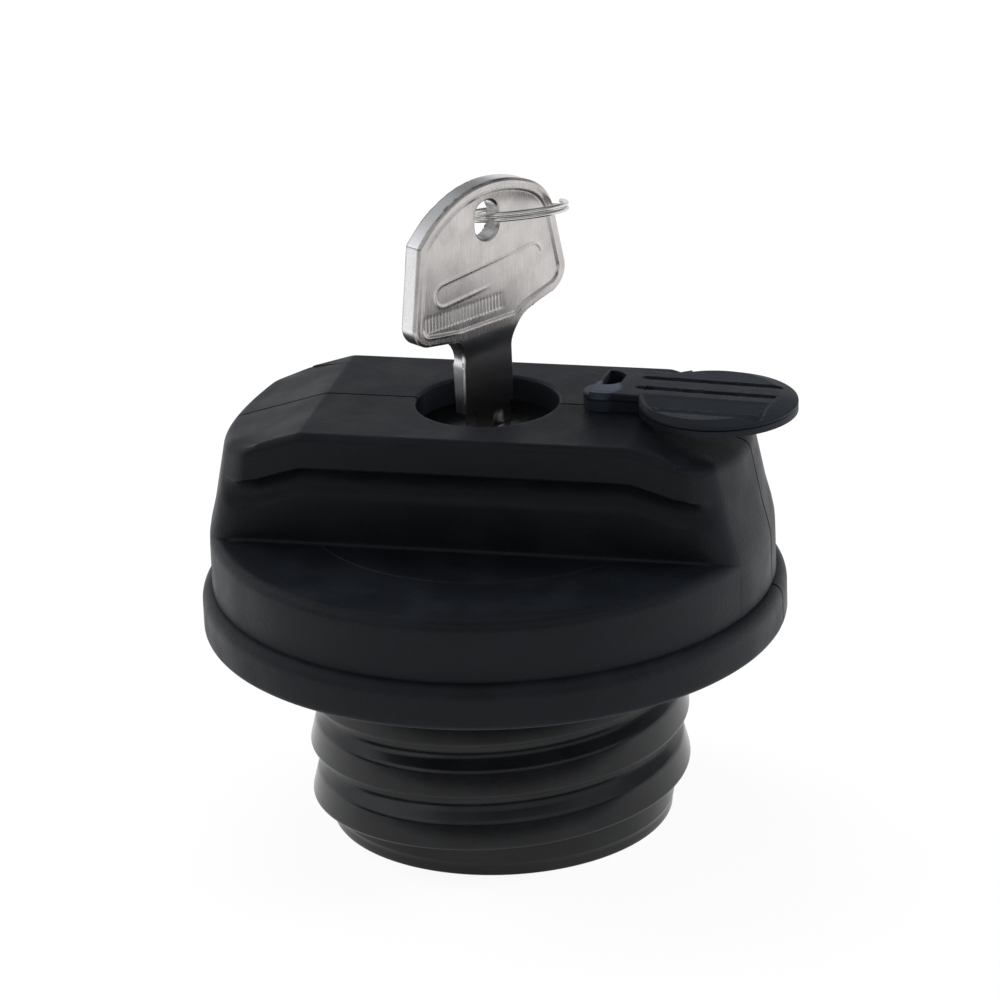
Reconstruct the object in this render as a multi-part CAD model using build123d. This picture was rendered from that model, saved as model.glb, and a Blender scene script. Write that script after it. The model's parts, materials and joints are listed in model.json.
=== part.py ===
from build123d import *
import os
from math import cos, pi, radians, sin, sqrt, tan

# Locking fuel filler cap, standing on its threaded neck.
# Frame: origin at the centre of the neck's lower end, +Z up the neck's axis,
# the grip runs along X, its front side faces -Y. Millimetres and degrees.

# ---------------------------------------------------------------- clearances
RUN = 0.06            # radial clearance of a turning fit
GUIDE = 0.20          # radial clearance of a loosely guided slide
SEAT = 0.05           # radial clearance between fixed round pieces
PLAY = 0.10           # axial play of a turning piece
FREE = 0.30           # air between pieces that never touch

# ---------------------------------------------------------------- threaded neck
NECK_R = 23.9         # root of the thread
PILOT_R = 23.65       # plain end below the thread
PILOT_H = 2.0
CREST_H = 2.35        # thread depth, root to crest
THREAD_PITCH = 7.55
THREAD_TURNS = 2.60
THREAD_AZ = 140.0     # where the thread starts, from +X
THREAD_Z = 2.15       # height of its lower edge there
CREST_FACE = 3.7      # height of the crest face
CREST_TAPER = 0.7     # how far the crest face leans in at its top
FLANK_H = 1.4         # height of the upper flank
CREST_ROUND = 0.5
THREAD_ROOT_SINK = 0.8
NECK_WALL = 3.5
LEDGE_W = 1.8         # width of the ledge that carries the valve cage
NECK_FLOOR_Z = 1.2    # the floor sits a little above the neck's end
NECK_FLOOR_T = 2.6
PORT_R = 7.0
SEAT_LIP_R = 8.4      # sealing lip round the port
SEAT_LIP_W = 1.0
SEAT_LIP_H = 1.0
GASKET_Z = 27.2
GASKET_T = 3.9
GASKET_CLEAR = 1.5    # gasket to retaining ring, radial
GASKET_LIP = 0.8      # depth of the two grooves in the gasket's face
FLANGE_T = 2.6
RIM_R = 40.0
RIM_WALL = 5.0        # rim radius less the neck's flange radius

# ---------------------------------------------------------------- drive ring
DRIVE_GAP = 0.6       # drive ring bore less neck bore, radial
DRIVE_W = 8.5
DRIVE_H = 4.5
DRIVE_SLOTS = 12
SLOT_W = 5.8
SLOT_DEPTH = 4.6
DRIVE_SCREWS = 4
SCREW_R = 1.25
SCREW_HEAD_R = 2.3
SCREW_HEAD_H = 1.2
SCREW_BITE = 2.0      # length of a screw's shank below what it clamps

# ---------------------------------------------------------------- lock plate and bolt
PLATE_T = 1.4
PLATE_MARGIN = 0.7    # plate to drive ring, radial
BOLT_T = 3.0
BOLT_W = 5.0
BOLT_HEAD_W = 8.2
BOLT_HEAD_L = 9.4
BOLT_SHY = 1.5        # tip short of the drive ring's bore when drawn in
BOLT_STROKE = 4.0
TUNNEL_L = 10.0
TUNNEL_WALL = 1.4
BOSS_R = 2.3
PLATE_HEAD_R = 2.0    # countersunk head of the lock plate's screws
PLATE_HEAD_H = 0.7
BOSS_AZ = (62.0, 118.0, 242.0, 298.0)
HEADROOM = 1.1        # screw heads to the cover's ceiling

# ---------------------------------------------------------------- outer cover
RIM_DROP = 2.3        # rim hangs below the neck's flange
RIM_H = 4.3           # rim's straight side above its lower edge
RIM_EDGE = 0.8
RIM_LEDGE = 1.5       # band stands in from the rim
LEDGE_RISE = 2.0      # height of the rounded ledge
BAND_ROUND = 1.5      # edge between band and finger floor
FLOOR_T = 2.5
COVER_WALL = 2.6
RETAINER_H = 1.6
RETAINER_W = 4.3
RETAINER_WALL = 2.6   # rim wall left outside the retaining ring
BEAD_R = 0.35         # snap bead on the retaining ring

GRIP_H = 16.2         # grip top above the finger floor
GRIP_HALF = 14.8      # half width of the grip's side walls
LIP = 1.1             # the finger lip stands out this far
LIP_H = 3.9           # straight height of the lip
LIP_ROUND = 1.1       # top edges of the lip
LIP_SWEEP = 4.2       # height of the hollow under the lip
LIP_HOLLOW = 0.5      # how deep that hollow is cut in
GRIP_FLAT = 22.5      # half length of the flat top
END_SLOPE = 17.4      # the ends of the top slope down, degrees
END_LEAN = 11.0       # the end walls lean in, degrees
CORNER_R = 4.0
END_ROUND = 2.0       # rounding of the sloping ends' edges

# ---------------------------------------------------------------- lock
WELL_R = 9.7
WELL_DEPTH = 3.5
HOUSING_R = 8.3
HOUSING_FLANGE_T = 1.5
TUBE_WALL = 2.4       # the cover's tube round the lock housing
TUBE_END = 8.8        # tube's length below the housing's flange
CLIP_T = 1.2
CLIP_DEPTH = 0.7
CLIP_OUT = 1.6        # clip stands out past the housing
BARREL_R = 6.0
COLLAR_W = 0.7
COLLAR_T = 0.9
CAP_T = 0.35
KEYWAY_W = 7.0
KEYWAY_T = 2.5
LOCK_GROOVE = 1.1
LOCK_GROOVE_W = 6.2
WAFERS = 4
WAFER_T = 0.9
WAFER_PITCH = 2.6
WAFER_TOP = 3.4       # first wafer below the barrel's top
WAFER_HALF_W = 2.7
WAFER_PLAY = 0.05
WAFER_SPRING_R = 0.5
WAFER_SPRING_L = 2.6
WAFER_WIRE_R = 0.14
CAM_R = 7.2
CAM_T = 1.2
TANG_R = 1.75
TANG_FLAT = 1.35
CAM_PIN_R = 0.9
CAM_PIN_PLAY = 0.16
CAM_SCREW_R = 0.8
CAM_HEAD_R = 1.6
CAM_HEAD_H = 0.7
LOCK_TURN = 90.0      # the key turns the barrel this far

# ---------------------------------------------------------------- key and its ring
KEY_AZ = 56.0         # direction of the key's plane, from +X
KEY_SHOULDER = 0.4    # shoulder below the grip's top
BLADE_HALF = 3.1
BLADE_T = 2.2
BLADE_TIP_GAP = 2.5   # blade's tip above the barrel's end
BLADE_CUT = 0.8
BLADE_MILL = 0.55
BOW_T = 2.9
NECK_HALF = 4.6
NECK_TOP = 7.0        # key heights are above the grip's top
BOW_LOW = 11.8
BOW_WIDE_Z = 16.6
BOW_HALF = 14.2
BOW_CORNER_Z = 25.0
BOW_CORNER_HALF = 12.3
BOW_TOP = 31.2
KEY_HOLE_Z = 26.0
KEY_HOLE_W = 4.1
KEY_HOLE_H = 5.3
PANEL_DEPTH = 0.25
PANEL_RIM = 1.5
RING_R = 6.75
RING_WIRE_R = 0.45
RING_TURNS = 1.9
RING_TILT = 12.0      # front of the ring is raised, degrees
RING_GAP_AZ = 20.0    # where the wire's ends lie

# ---------------------------------------------------------------- keyhole flap
PIVOT_X = 16.0
FLAP_AZ = -4.2        # where the open flap points
FLAP_R = 10.7
FLAP_LIFT = 0.7       # flap's disc above the grip's top
FLAP_SKIRT = 0.85
FLAP_GROOVE = 0.25
FLAP_PLATE = 0.90
FLAP_EDGE = 0.3       # upright part of the plate's edge
CROWN_IN = 1.4        # flat top smaller than the disc
CROWN_SHIFT = 1.2     # and moved towards the pivot, so its outer edge slopes
EYE_R = 2.7
ARM_FRONT = 2.2
ARM_BACK = 8.2
ARM_START = -1.3
ARM_CORNER = 2.5
WINDOW_X = -0.3        # D-shaped window behind the pivot
WINDOW_Y = 3.7
WINDOW_L = 2.6
WINDOW_W = 5.0
RIB_PITCH = 3.8
RIB_W = 1.2
RIB_DEPTH = 0.55
RIB_OFFSETS = (1.25, 0.25, -0.75, -1.75)   # in rib pitches from the disc's centre
RIB_EDGE = 1.6
POST_R = 2.0
POST_LENGTH = 4.6
WASHER_T = 0.6
WASHER_W = 2.2
FLAP_CLIP_T = 0.6
FLAP_CLIP_W = 2.0

# ---------------------------------------------------------------- valves
VALVE_SEAL_T = 1.5
VALVE_SEAL_IN = 3.4
VALVE_R = 11.0
VALVE_PLATE_T = 1.5
HUB_R = 4.2
HUB_H = 2.6
STEM_R = 2.0
CAGE_WALL = 1.5
CAGE_TOP = 24.0
CAGE_FLANGE_T = 2.0
CAGE_WINDOWS = 4
WINDOW_HALF = 4.0
WINDOW_H = 9.0
VENTS = 6
VENT_R = 1.5
RELIEF_WIRE_R = 0.6
RELIEF_COIL_R = 8.6
RELIEF_TURNS = 4
VACUUM_HEAD_R = 4.6
VACUUM_HEAD_T = 0.9
VACUUM_WIRE_R = 0.3
VACUUM_COIL_R = 3.1
VACUUM_TURNS = 3
VACUUM_LENGTH = 5.0
SPRING_CAP_R = 4.0
SPRING_CAP_T = 1.0
GRILLE_R = 9.0
GRILLE_T = 0.9
GRILLE_HOLES = 8
GRILLE_HOLE_R = 1.3

# ---------------------------------------------------------------- levels and radii that follow
FLANGE_Z = GASKET_Z + GASKET_T
FLANGE_TOP = FLANGE_Z + FLANGE_T
FLANGE_R = RIM_R - RIM_WALL
BORE_R = NECK_R - NECK_WALL
LOW_BORE_R = BORE_R - LEDGE_W
NECK_FLOOR_TOP = NECK_FLOOR_Z + NECK_FLOOR_T

CAGE_IN = VALVE_R + GUIDE
CAGE_ROOF = CAGE_TOP - CAGE_FLANGE_T
SEAL_Z = NECK_FLOOR_TOP + SEAT_LIP_H
CAGE_Z = SEAL_Z + FREE
VALVE_Z = SEAL_Z + VALVE_SEAL_T
VALVE_TOP = VALVE_Z + VALVE_PLATE_T
HUB_TOP = VALVE_TOP + HUB_H
VACUUM_TOP = HUB_TOP + VACUUM_LENGTH

DRIVE_IN = BORE_R + DRIVE_GAP
DRIVE_OUT = DRIVE_IN + DRIVE_W
DRIVE_TOP = FLANGE_TOP + DRIVE_H
DRIVE_SCREW_R = DRIVE_IN + DRIVE_W / 2
DRIVE_SCREW_AZ = 180 / DRIVE_SLOTS

PLATE_R = DRIVE_IN - PLATE_MARGIN
PLATE_Z = FLANGE_TOP + FREE
PLATE_TOP = PLATE_Z + PLATE_T
BOSS_PLACE_R = PLATE_R - BOSS_R
BOLT_Z = PLATE_TOP + PLAY
BOLT_TOP = BOLT_Z + BOLT_T
TUNNEL_TOP = BOLT_TOP + PLAY + TUNNEL_WALL

RIM_Z = FLANGE_Z - RIM_DROP
RETAINER_TOP = FLANGE_Z - PLAY
RETAINER_Z = RETAINER_TOP - RETAINER_H
RETAINER_IN = RIM_R - RETAINER_WALL - SEAT - RETAINER_W
CEILING_Z = max(DRIVE_TOP + SCREW_HEAD_H, TUNNEL_TOP) + HEADROOM
FLOOR_Z = CEILING_Z + FLOOR_T
BAND_R = RIM_R - RIM_LEDGE
GRIP_TOP = FLOOR_Z + GRIP_H
LIP_Z = GRIP_TOP - LIP_ROUND - LIP_H
LIP_HALF = GRIP_HALF + LIP

HOUSING_TOP = GRIP_TOP - WELL_DEPTH
HOUSING_LEDGE = HOUSING_TOP - HOUSING_FLANGE_T
TUBE_Z = HOUSING_LEDGE - TUBE_END
CAM_HEAD_Z = BOLT_TOP + FREE
CAM_Z = CAM_HEAD_Z + CAM_HEAD_H
CAM_TOP = CAM_Z + CAM_T
HOUSING_Z = CAM_TOP + PLAY
BARREL_TOP = HOUSING_TOP - CAP_T
COLLAR_Z = BARREL_TOP - COLLAR_T
CAM_THROW = BOLT_STROKE / 2 * sqrt(2)
SPRING_POCKET_Y = WAFER_HALF_W + WAFER_PLAY + WAFER_SPRING_R + 0.1
BLADE_TIP = HOUSING_Z + BLADE_TIP_GAP
BOW_BASE = GRIP_TOP - KEY_SHOULDER
POST_END = GRIP_TOP - COVER_WALL - WASHER_T - FLAP_CLIP_T - PLAY


# ---------------------------------------------------------------- plain shapes
def rod(radius, low, high):
    """Upright cylinder on the Z axis."""
    return Pos(0, 0, low) * Cylinder(radius, high - low, align=(Align.CENTER, Align.CENTER, Align.MIN))


def tube(inner, outer, low, high):
    """Upright tube on the Z axis."""
    return rod(outer, low, high) - rod(inner, low - 1, high + 1)


def block(x, y, z):
    """Box between three (low, high) pairs."""
    size = [high - low for low, high in (x, y, z)]
    return Pos(x[0], y[0], z[0]) * Box(*size, align=(Align.MIN, Align.MIN, Align.MIN))


def turned(points):
    """Solid of revolution about Z of a closed (radius, height) outline."""
    return revolve(make_face(Plane.XZ * Polyline(*points, close=True)), Axis.Z)


def around(shape, count, start=0.0):
    """Copies of a shape spread evenly about Z."""
    return [Rot(0, 0, start + 360 * i / count) * shape for i in range(count)]


def group(pieces):
    """Like pieces as one node of separate solids."""
    return Compound(children=[solid for piece in pieces for solid in piece.solids()])


def coil(radius, wire, pitch, height, z):
    """Round wire wound about Z."""
    path = Helix(pitch, height, radius)
    start = Plane(origin=path @ 0, z_dir=path % 0)
    return Pos(0, 0, z) * sweep(start * Circle(wire), path=path, is_frenet=True)


def spring(radius, wire, turns, low, high):
    """Compression spring that fills the space between two heights."""
    height = high - low - 2 * wire - 0.02
    return coil(radius, wire, height / turns, height, low + wire + 0.01)


# ---------------------------------------------------------------- neck and what it holds
def thread():
    """Coarse rounded ridge, swept up the neck."""
    root = NECK_R - THREAD_ROOT_SINK
    crest = NECK_R + CREST_H
    top_crest = crest - CREST_TAPER
    flank_slope = FLANK_H / (top_crest - NECK_R)
    flank_top = CREST_FACE + flank_slope * (top_crest - root)
    bend = CREST_ROUND * (1 - sqrt(0.5))
    outline = Polyline((root, 0), (crest - CREST_ROUND, 0)) + [
        ThreePointArc((crest - CREST_ROUND, 0), (crest - bend, bend), (crest, CREST_ROUND)),
        Polyline((crest, CREST_ROUND), (top_crest, CREST_FACE), (root, flank_top), (root, 0)),
    ]
    path = Helix(THREAD_PITCH, THREAD_PITCH * THREAD_TURNS, NECK_R)
    ridge = sweep(make_face(Plane.XZ * outline), path=path, is_frenet=True)
    return Pos(0, 0, THREAD_Z) * Rot(0, 0, THREAD_AZ) * ridge


def neck_plug():
    """Moulded plug: threaded neck, flange, floor with the valve port."""
    lip_out = SEAT_LIP_R + SEAT_LIP_W
    body = turned([
        (PORT_R, NECK_FLOOR_Z), (LOW_BORE_R, NECK_FLOOR_Z), (LOW_BORE_R, 0), (PILOT_R, 0),
        (PILOT_R, PILOT_H), (NECK_R, PILOT_H), (NECK_R, FLANGE_Z), (FLANGE_R, FLANGE_Z),
        (FLANGE_R, FLANGE_TOP), (BORE_R, FLANGE_TOP), (BORE_R, CAGE_TOP - CAGE_FLANGE_T),
        (LOW_BORE_R, CAGE_TOP - CAGE_FLANGE_T), (LOW_BORE_R, NECK_FLOOR_TOP),
        (lip_out, NECK_FLOOR_TOP), (lip_out, NECK_FLOOR_TOP + SEAT_LIP_H),
        (SEAT_LIP_R, NECK_FLOOR_TOP + SEAT_LIP_H), (SEAT_LIP_R, NECK_FLOOR_TOP), (PORT_R, NECK_FLOOR_TOP),
    ])
    body -= rod(GRILLE_R + SEAT, NECK_FLOOR_Z - 1, NECK_FLOOR_Z + GRILLE_T)
    hole = Pos(DRIVE_SCREW_R, 0, 0) * rod(SCREW_R, FLANGE_TOP - SCREW_BITE - FREE, FLANGE_TOP + 1)
    for cut in around(hole, DRIVE_SCREWS, DRIVE_SCREW_AZ):
        body -= cut
    return body + thread()


def neck_gasket():
    """Rubber ring under the flange, with two grooves in its face."""
    inner = NECK_R + SEAT
    outer = RETAINER_IN - GASKET_CLEAR
    body = tube(inner, outer, GASKET_Z, FLANGE_Z)
    for share in (0.3, 0.65):
        groove_r = inner + (outer - inner) * share
        body -= tube(groove_r, groove_r + GASKET_LIP, GASKET_Z - 1, GASKET_Z + GASKET_LIP)
    return body


def drive_ring():
    """Ring with slots that the lock bolt drops into."""
    body = tube(DRIVE_IN, DRIVE_OUT, FLANGE_TOP, DRIVE_TOP)
    slot = block((DRIVE_IN - 2, DRIVE_IN + SLOT_DEPTH), (-SLOT_W / 2, SLOT_W / 2),
                 (FLANGE_TOP - 1, DRIVE_TOP + 1))
    for cut in around(slot, DRIVE_SLOTS):
        body -= cut
    hole = Pos(DRIVE_SCREW_R, 0, 0) * rod(SCREW_R, FLANGE_TOP - 1, DRIVE_TOP + 1)
    for cut in around(hole, DRIVE_SCREWS, DRIVE_SCREW_AZ):
        body -= cut
    return body


def drive_screw():
    """Pan-head screw through the drive ring."""
    shank = rod(SCREW_R - SEAT, FLANGE_TOP - SCREW_BITE, DRIVE_TOP)
    head = rod(SCREW_HEAD_R, DRIVE_TOP, DRIVE_TOP + SCREW_HEAD_H)
    head = fillet(head.edges().group_by(Axis.Z)[-1], SCREW_HEAD_H * 0.5)
    recess = Rot(0, 0, 45) * block((-1.3, 1.3), (-0.3, 0.3), (DRIVE_TOP + SCREW_HEAD_H * 0.4, DRIVE_TOP + 9))
    screw = shank + head - recess - Rot(0, 0, 90) * recess
    return Pos(DRIVE_SCREW_R, 0, 0) * screw


def valve_cage():
    """Sleeve that guides the relief valve, hung from a flange in the neck."""
    outer = CAGE_IN + CAGE_WALL
    body = tube(CAGE_IN, outer, CAGE_Z, CAGE_ROOF) + rod(BORE_R - SEAT, CAGE_ROOF, CAGE_TOP)
    window = block((0, outer + 1), (-WINDOW_HALF, WINDOW_HALF), (VALVE_TOP + 1, VALVE_TOP + 1 + WINDOW_H))
    for cut in around(window, CAGE_WINDOWS, 45):
        body -= cut
    vent = Pos((outer + LOW_BORE_R) / 2, 0, 0) * rod(VENT_R, CAGE_ROOF - 1, CAGE_TOP + 1)
    for cut in around(vent, VENTS):
        body -= cut
    return body


def valve_seal():
    """Flat rubber washer under the relief valve's plate."""
    return tube(VALVE_SEAL_IN, VALVE_R - GUIDE, SEAL_Z, VALVE_Z)


def relief_valve():
    """Plate with a hub that guides the vacuum valve's stem."""
    body = rod(VALVE_R, VALVE_Z, VALVE_TOP) + rod(HUB_R, VALVE_TOP, HUB_TOP)
    body -= rod(STEM_R + RUN, VALVE_Z - 1, HUB_TOP + 1)
    port = Pos((STEM_R + HUB_R) / 2 + 0.1, 0, 0) * rod(0.55, VALVE_Z - 1, HUB_TOP + 1)
    for cut in around(port, 4):
        body -= cut
    return body


def vacuum_valve():
    """Mushroom valve whose head closes the relief seal's bore from below."""
    head = rod(VACUUM_HEAD_R, SEAL_Z - VACUUM_HEAD_T, SEAL_Z)
    return head + rod(STEM_R, SEAL_Z, VACUUM_TOP + SPRING_CAP_T)


def vacuum_spring_cap():
    """Cap pressed on the stem's end, over the spring."""
    return tube(STEM_R + SEAT, SPRING_CAP_R, VACUUM_TOP, VACUUM_TOP + SPRING_CAP_T)


def inlet_grille():
    """Perforated disc in the neck's floor, under the port."""
    body = rod(GRILLE_R, NECK_FLOOR_Z, NECK_FLOOR_Z + GRILLE_T)
    hole = Pos(PORT_R * 0.68, 0, 0) * rod(GRILLE_HOLE_R, NECK_FLOOR_Z - 1, NECK_FLOOR_TOP)
    for cut in around(hole, GRILLE_HOLES):
        body -= cut
    return body - rod(GRILLE_HOLE_R, NECK_FLOOR_Z - 1, NECK_FLOOR_TOP)


# ---------------------------------------------------------------- outer cover
def both_ends(section, flat, reach):
    """Section carried along X, sheared down along both sloping ends."""
    slope = radians(END_SLOPE)
    middle = extrude(Pos(-flat, 0, 0) * section, 2 * flat, dir=(1, 0, 0))
    length = reach / cos(slope)
    right = extrude(Pos(flat, 0, 0) * section, length, dir=(cos(slope), 0, -sin(slope)))
    left = extrude(Pos(-flat, 0, 0) * section, length, dir=(-cos(slope), 0, -sin(slope)))
    return middle + right + left


def lip_section():
    """Section of the grip across X: straight wall, hollow sweep, overhanging lip."""
    low = LIP_Z - LIP_SWEEP
    bend = LIP_ROUND * (1 - sqrt(0.5))
    shoulder = GRIP_TOP - LIP_ROUND
    hollow = GRIP_HALF - LIP_HOLLOW
    right = Polyline((GRIP_HALF, low - 4), (GRIP_HALF, low)) + [
        ThreePointArc((GRIP_HALF, low), (hollow, low + LIP_SWEEP * 0.6), (LIP_HALF - 0.3, LIP_Z)),
        ThreePointArc((LIP_HALF - 0.3, LIP_Z), (LIP_HALF - 0.09, LIP_Z + 0.1), (LIP_HALF, LIP_Z + 0.4)),
        Line((LIP_HALF, LIP_Z + 0.4), (LIP_HALF, shoulder)),
        ThreePointArc((LIP_HALF, shoulder), (LIP_HALF - bend, GRIP_TOP - bend),
                      (LIP_HALF - LIP_ROUND, GRIP_TOP)),
        Line((LIP_HALF - LIP_ROUND, GRIP_TOP), (0, GRIP_TOP)),
    ]
    left = mirror(right, Plane.YZ)
    base = Line((-GRIP_HALF, low - 4), (GRIP_HALF, low - 4))
    return make_face(Plane.YZ * (right + left + base))


def plan(half, radius, corner, low, high):
    """Upright block: a circle cut by two lines along X, with rounded corners."""
    outline = Circle(radius) & Rectangle(4 * radius, 2 * half)
    outline = fillet(outline.vertices(), corner)
    return Pos(0, 0, low) * extrude(outline, high - low)


def end_walls():
    """Round block that trims the grip's ends: leaning wall, then a rounded upper edge."""
    lean = radians(END_LEAN)
    slope = radians(END_SLOPE)
    start_z = FLOOR_Z - BAND_ROUND
    run = (GRIP_TOP - start_z - (BAND_R - GRIP_FLAT) * tan(slope)) / (1 - tan(lean) * tan(slope))
    edge = Vector(BAND_R - run * tan(lean), start_z + run)
    back = END_ROUND * tan((pi / 2 - slope - lean) / 2)
    low = edge + Vector(sin(lean), -cos(lean)) * back
    high = edge + Vector(-cos(slope), sin(slope)) * back
    centre = low - Vector(cos(lean), sin(lean)) * END_ROUND
    halfway = (pi / 2 - slope + lean) / 2
    middle = centre + Vector(cos(halfway), sin(halfway)) * END_ROUND
    rise = GRIP_TOP + 1 - high.Y
    outline = Polyline((high.X, high.Y), (high.X - rise, high.Y + rise), (0, high.Y + rise), (0, CEILING_Z),
                       (BAND_R, CEILING_Z), (BAND_R, start_z), (low.X, low.Y))
    arc = ThreePointArc((low.X, low.Y), (middle.X, middle.Y), (high.X, high.Y))
    return revolve(make_face(Plane.XZ * (outline + arc)), Axis.Z)


def grip_solid():
    """The grip bar before it is hollowed."""
    reach = BAND_R - GRIP_FLAT + 2
    wall = block((-BAND_R, BAND_R), (-GRIP_HALF, GRIP_HALF), (CEILING_Z, LIP_Z - LIP_SWEEP))
    bar = both_ends(lip_section(), GRIP_FLAT, reach) + wall
    return bar & end_walls() & plan(LIP_HALF + 0.01, BAND_R + 0.01, CORNER_R, CEILING_Z, GRIP_TOP + 1)


def grip_hollow():
    """The space inside the grip."""
    half = GRIP_HALF - LIP_HOLLOW - COVER_WALL
    roof = GRIP_TOP - COVER_WALL
    drop = (BAND_R - GRIP_FLAT) * tan(radians(END_SLOPE))
    outline = Polyline((-half, roof - drop), (half, roof - drop), (half, roof), (-half, roof), close=True)
    section = make_face(Plane.YZ * outline)
    upper = both_ends(section, GRIP_FLAT, BAND_R - GRIP_FLAT)
    lower = block((-BAND_R, BAND_R), (-half, half), (CEILING_Z - 1, roof - drop))
    inside = BAND_R - COVER_WALL - (GRIP_TOP - FLOOR_Z) * tan(radians(END_LEAN))
    return (upper + lower) & plan(half + 0.01, inside, CORNER_R - COVER_WALL, CEILING_Z - 1, GRIP_TOP)


def outer_cover():
    """One moulded shell: rim, band, finger floor and grip."""
    rim_top = RIM_Z + RIM_H
    ledge_bend = RIM_LEDGE * (1 - sqrt(0.5))
    rise_bend = LEDGE_RISE * sqrt(0.5)
    band_bend = BAND_ROUND * (1 - sqrt(0.5))
    ledge_z = rim_top + LEDGE_RISE
    profile = Plane.XZ * (Polyline((0, FLOOR_Z), (0, RIM_Z), (RIM_R - RIM_EDGE, RIM_Z),
                                   (RIM_R, RIM_Z + RIM_EDGE), (RIM_R, rim_top)) + [
        ThreePointArc((RIM_R, rim_top), (RIM_R - ledge_bend, rim_top + rise_bend), (BAND_R, ledge_z)),
        Line((BAND_R, ledge_z), (BAND_R, FLOOR_Z - BAND_ROUND)),
        ThreePointArc((BAND_R, FLOOR_Z - BAND_ROUND), (BAND_R - band_bend, FLOOR_Z - band_bend),
                      (BAND_R - BAND_ROUND, FLOOR_Z)),
        Line((BAND_R - BAND_ROUND, FLOOR_Z), (0, FLOOR_Z)),
    ])
    body = revolve(make_face(profile), Axis.Z) + grip_solid()

    bearing = FLANGE_R + RUN
    ledge = FLANGE_TOP + PLAY
    pocket = RIM_R - RETAINER_WALL
    room = bearing - 1.2
    bead_z = RETAINER_Z + RETAINER_H / 2
    body -= turned([
        (0, RIM_Z - 1), (pocket, RIM_Z - 1), (pocket, bead_z - 2 * BEAD_R), (pocket + BEAD_R, bead_z),
        (pocket, bead_z + 2 * BEAD_R), (pocket, RETAINER_TOP), (bearing, RETAINER_TOP), (bearing, ledge),
        (room, ledge), (room, CEILING_Z), (0, CEILING_Z),
    ])
    body -= grip_hollow()
    body += rod(HOUSING_R + SEAT + TUBE_WALL, TUBE_Z, GRIP_TOP - COVER_WALL)
    body -= rod(WELL_R, HOUSING_LEDGE, GRIP_TOP + 1)
    body -= rod(HOUSING_R + SEAT, TUBE_Z - 1, HOUSING_LEDGE)
    body -= Pos(PIVOT_X, 0, 0) * rod(POST_R + RUN, GRIP_TOP - COVER_WALL - 1, GRIP_TOP + 1)
    boss = Pos(BOSS_PLACE_R, 0, 0) * rod(BOSS_R, PLATE_TOP, CEILING_Z + 0.5)
    hole = Pos(BOSS_PLACE_R, 0, 0) * rod(SCREW_R, PLATE_TOP - 1, PLATE_TOP + SCREW_BITE + FREE)
    for azimuth in BOSS_AZ:
        body += Rot(0, 0, azimuth) * boss
    for azimuth in BOSS_AZ:
        body -= Rot(0, 0, azimuth) * hole
    return body


def retaining_ring():
    """Ring snapped into the rim, under the neck's flange."""
    outer = RETAINER_IN + RETAINER_W
    middle = RETAINER_Z + RETAINER_H / 2
    return turned([
        (RETAINER_IN, RETAINER_Z), (outer, RETAINER_Z), (outer, middle - 1.5 * BEAD_R),
        (outer + BEAD_R, middle), (outer, middle + 1.5 * BEAD_R), (outer, RETAINER_TOP),
        (RETAINER_IN, RETAINER_TOP),
    ])


def lock_plate():
    """Plate under the cover's floor, with the tunnel that guides the bolt."""
    body = rod(PLATE_R, PLATE_Z, PLATE_TOP)
    half = BOLT_W / 2 + TUNNEL_WALL
    end = PLATE_R - 1
    shell = block((end - TUNNEL_L, end), (-half, half), (PLATE_TOP, TUNNEL_TOP))
    shell = shell & rod(PLATE_R, PLATE_TOP, TUNNEL_TOP)
    bore = BOLT_W / 2 + PLAY
    body += shell - block((0, PLATE_R + 1), (-bore, bore), (PLATE_TOP, BOLT_TOP + PLAY))
    hole = Pos(BOSS_PLACE_R, 0, 0) * (rod(SCREW_R, PLATE_Z - 1, PLATE_TOP + 1) + sunk_head(SEAT))
    for azimuth in BOSS_AZ:
        body -= Rot(0, 0, azimuth) * hole
    return body


def sunk_head(room=0.0):
    """Countersunk head, flush with the plate's underside."""
    neck = SCREW_R - SEAT
    return turned([(0, PLATE_Z - room), (PLATE_HEAD_R + 2 * room, PLATE_Z - room),
                   (neck + room, PLATE_Z + PLATE_HEAD_H), (0, PLATE_Z + PLATE_HEAD_H)])


def plate_screw():
    """Countersunk screw from below, through the plate into a boss of the cover."""
    shank = rod(SCREW_R - SEAT, PLATE_Z, PLATE_TOP + SCREW_BITE)
    return Pos(BOSS_PLACE_R, 0, 0) * (shank + sunk_head())


# ---------------------------------------------------------------- lock
def turned_to_key(shape):
    """Turn a shape from the XZ plane into the key's plane."""
    return Rot(0, 0, KEY_AZ) * shape


def keyway(low, high):
    """The slot that the blade goes into, along X."""
    return block((-KEYWAY_W / 2, KEYWAY_W / 2), (-KEYWAY_T / 2, KEYWAY_T / 2), (low, high))


def tang(room=0.0):
    """Flatted end of the barrel that the cam fits over."""
    flats = block((-CAM_R, CAM_R), (-TANG_FLAT - room, TANG_FLAT + room), (CAM_Z - room, HOUSING_Z))
    return rod(TANG_R + room, CAM_Z - room, HOUSING_Z) & flats


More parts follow.
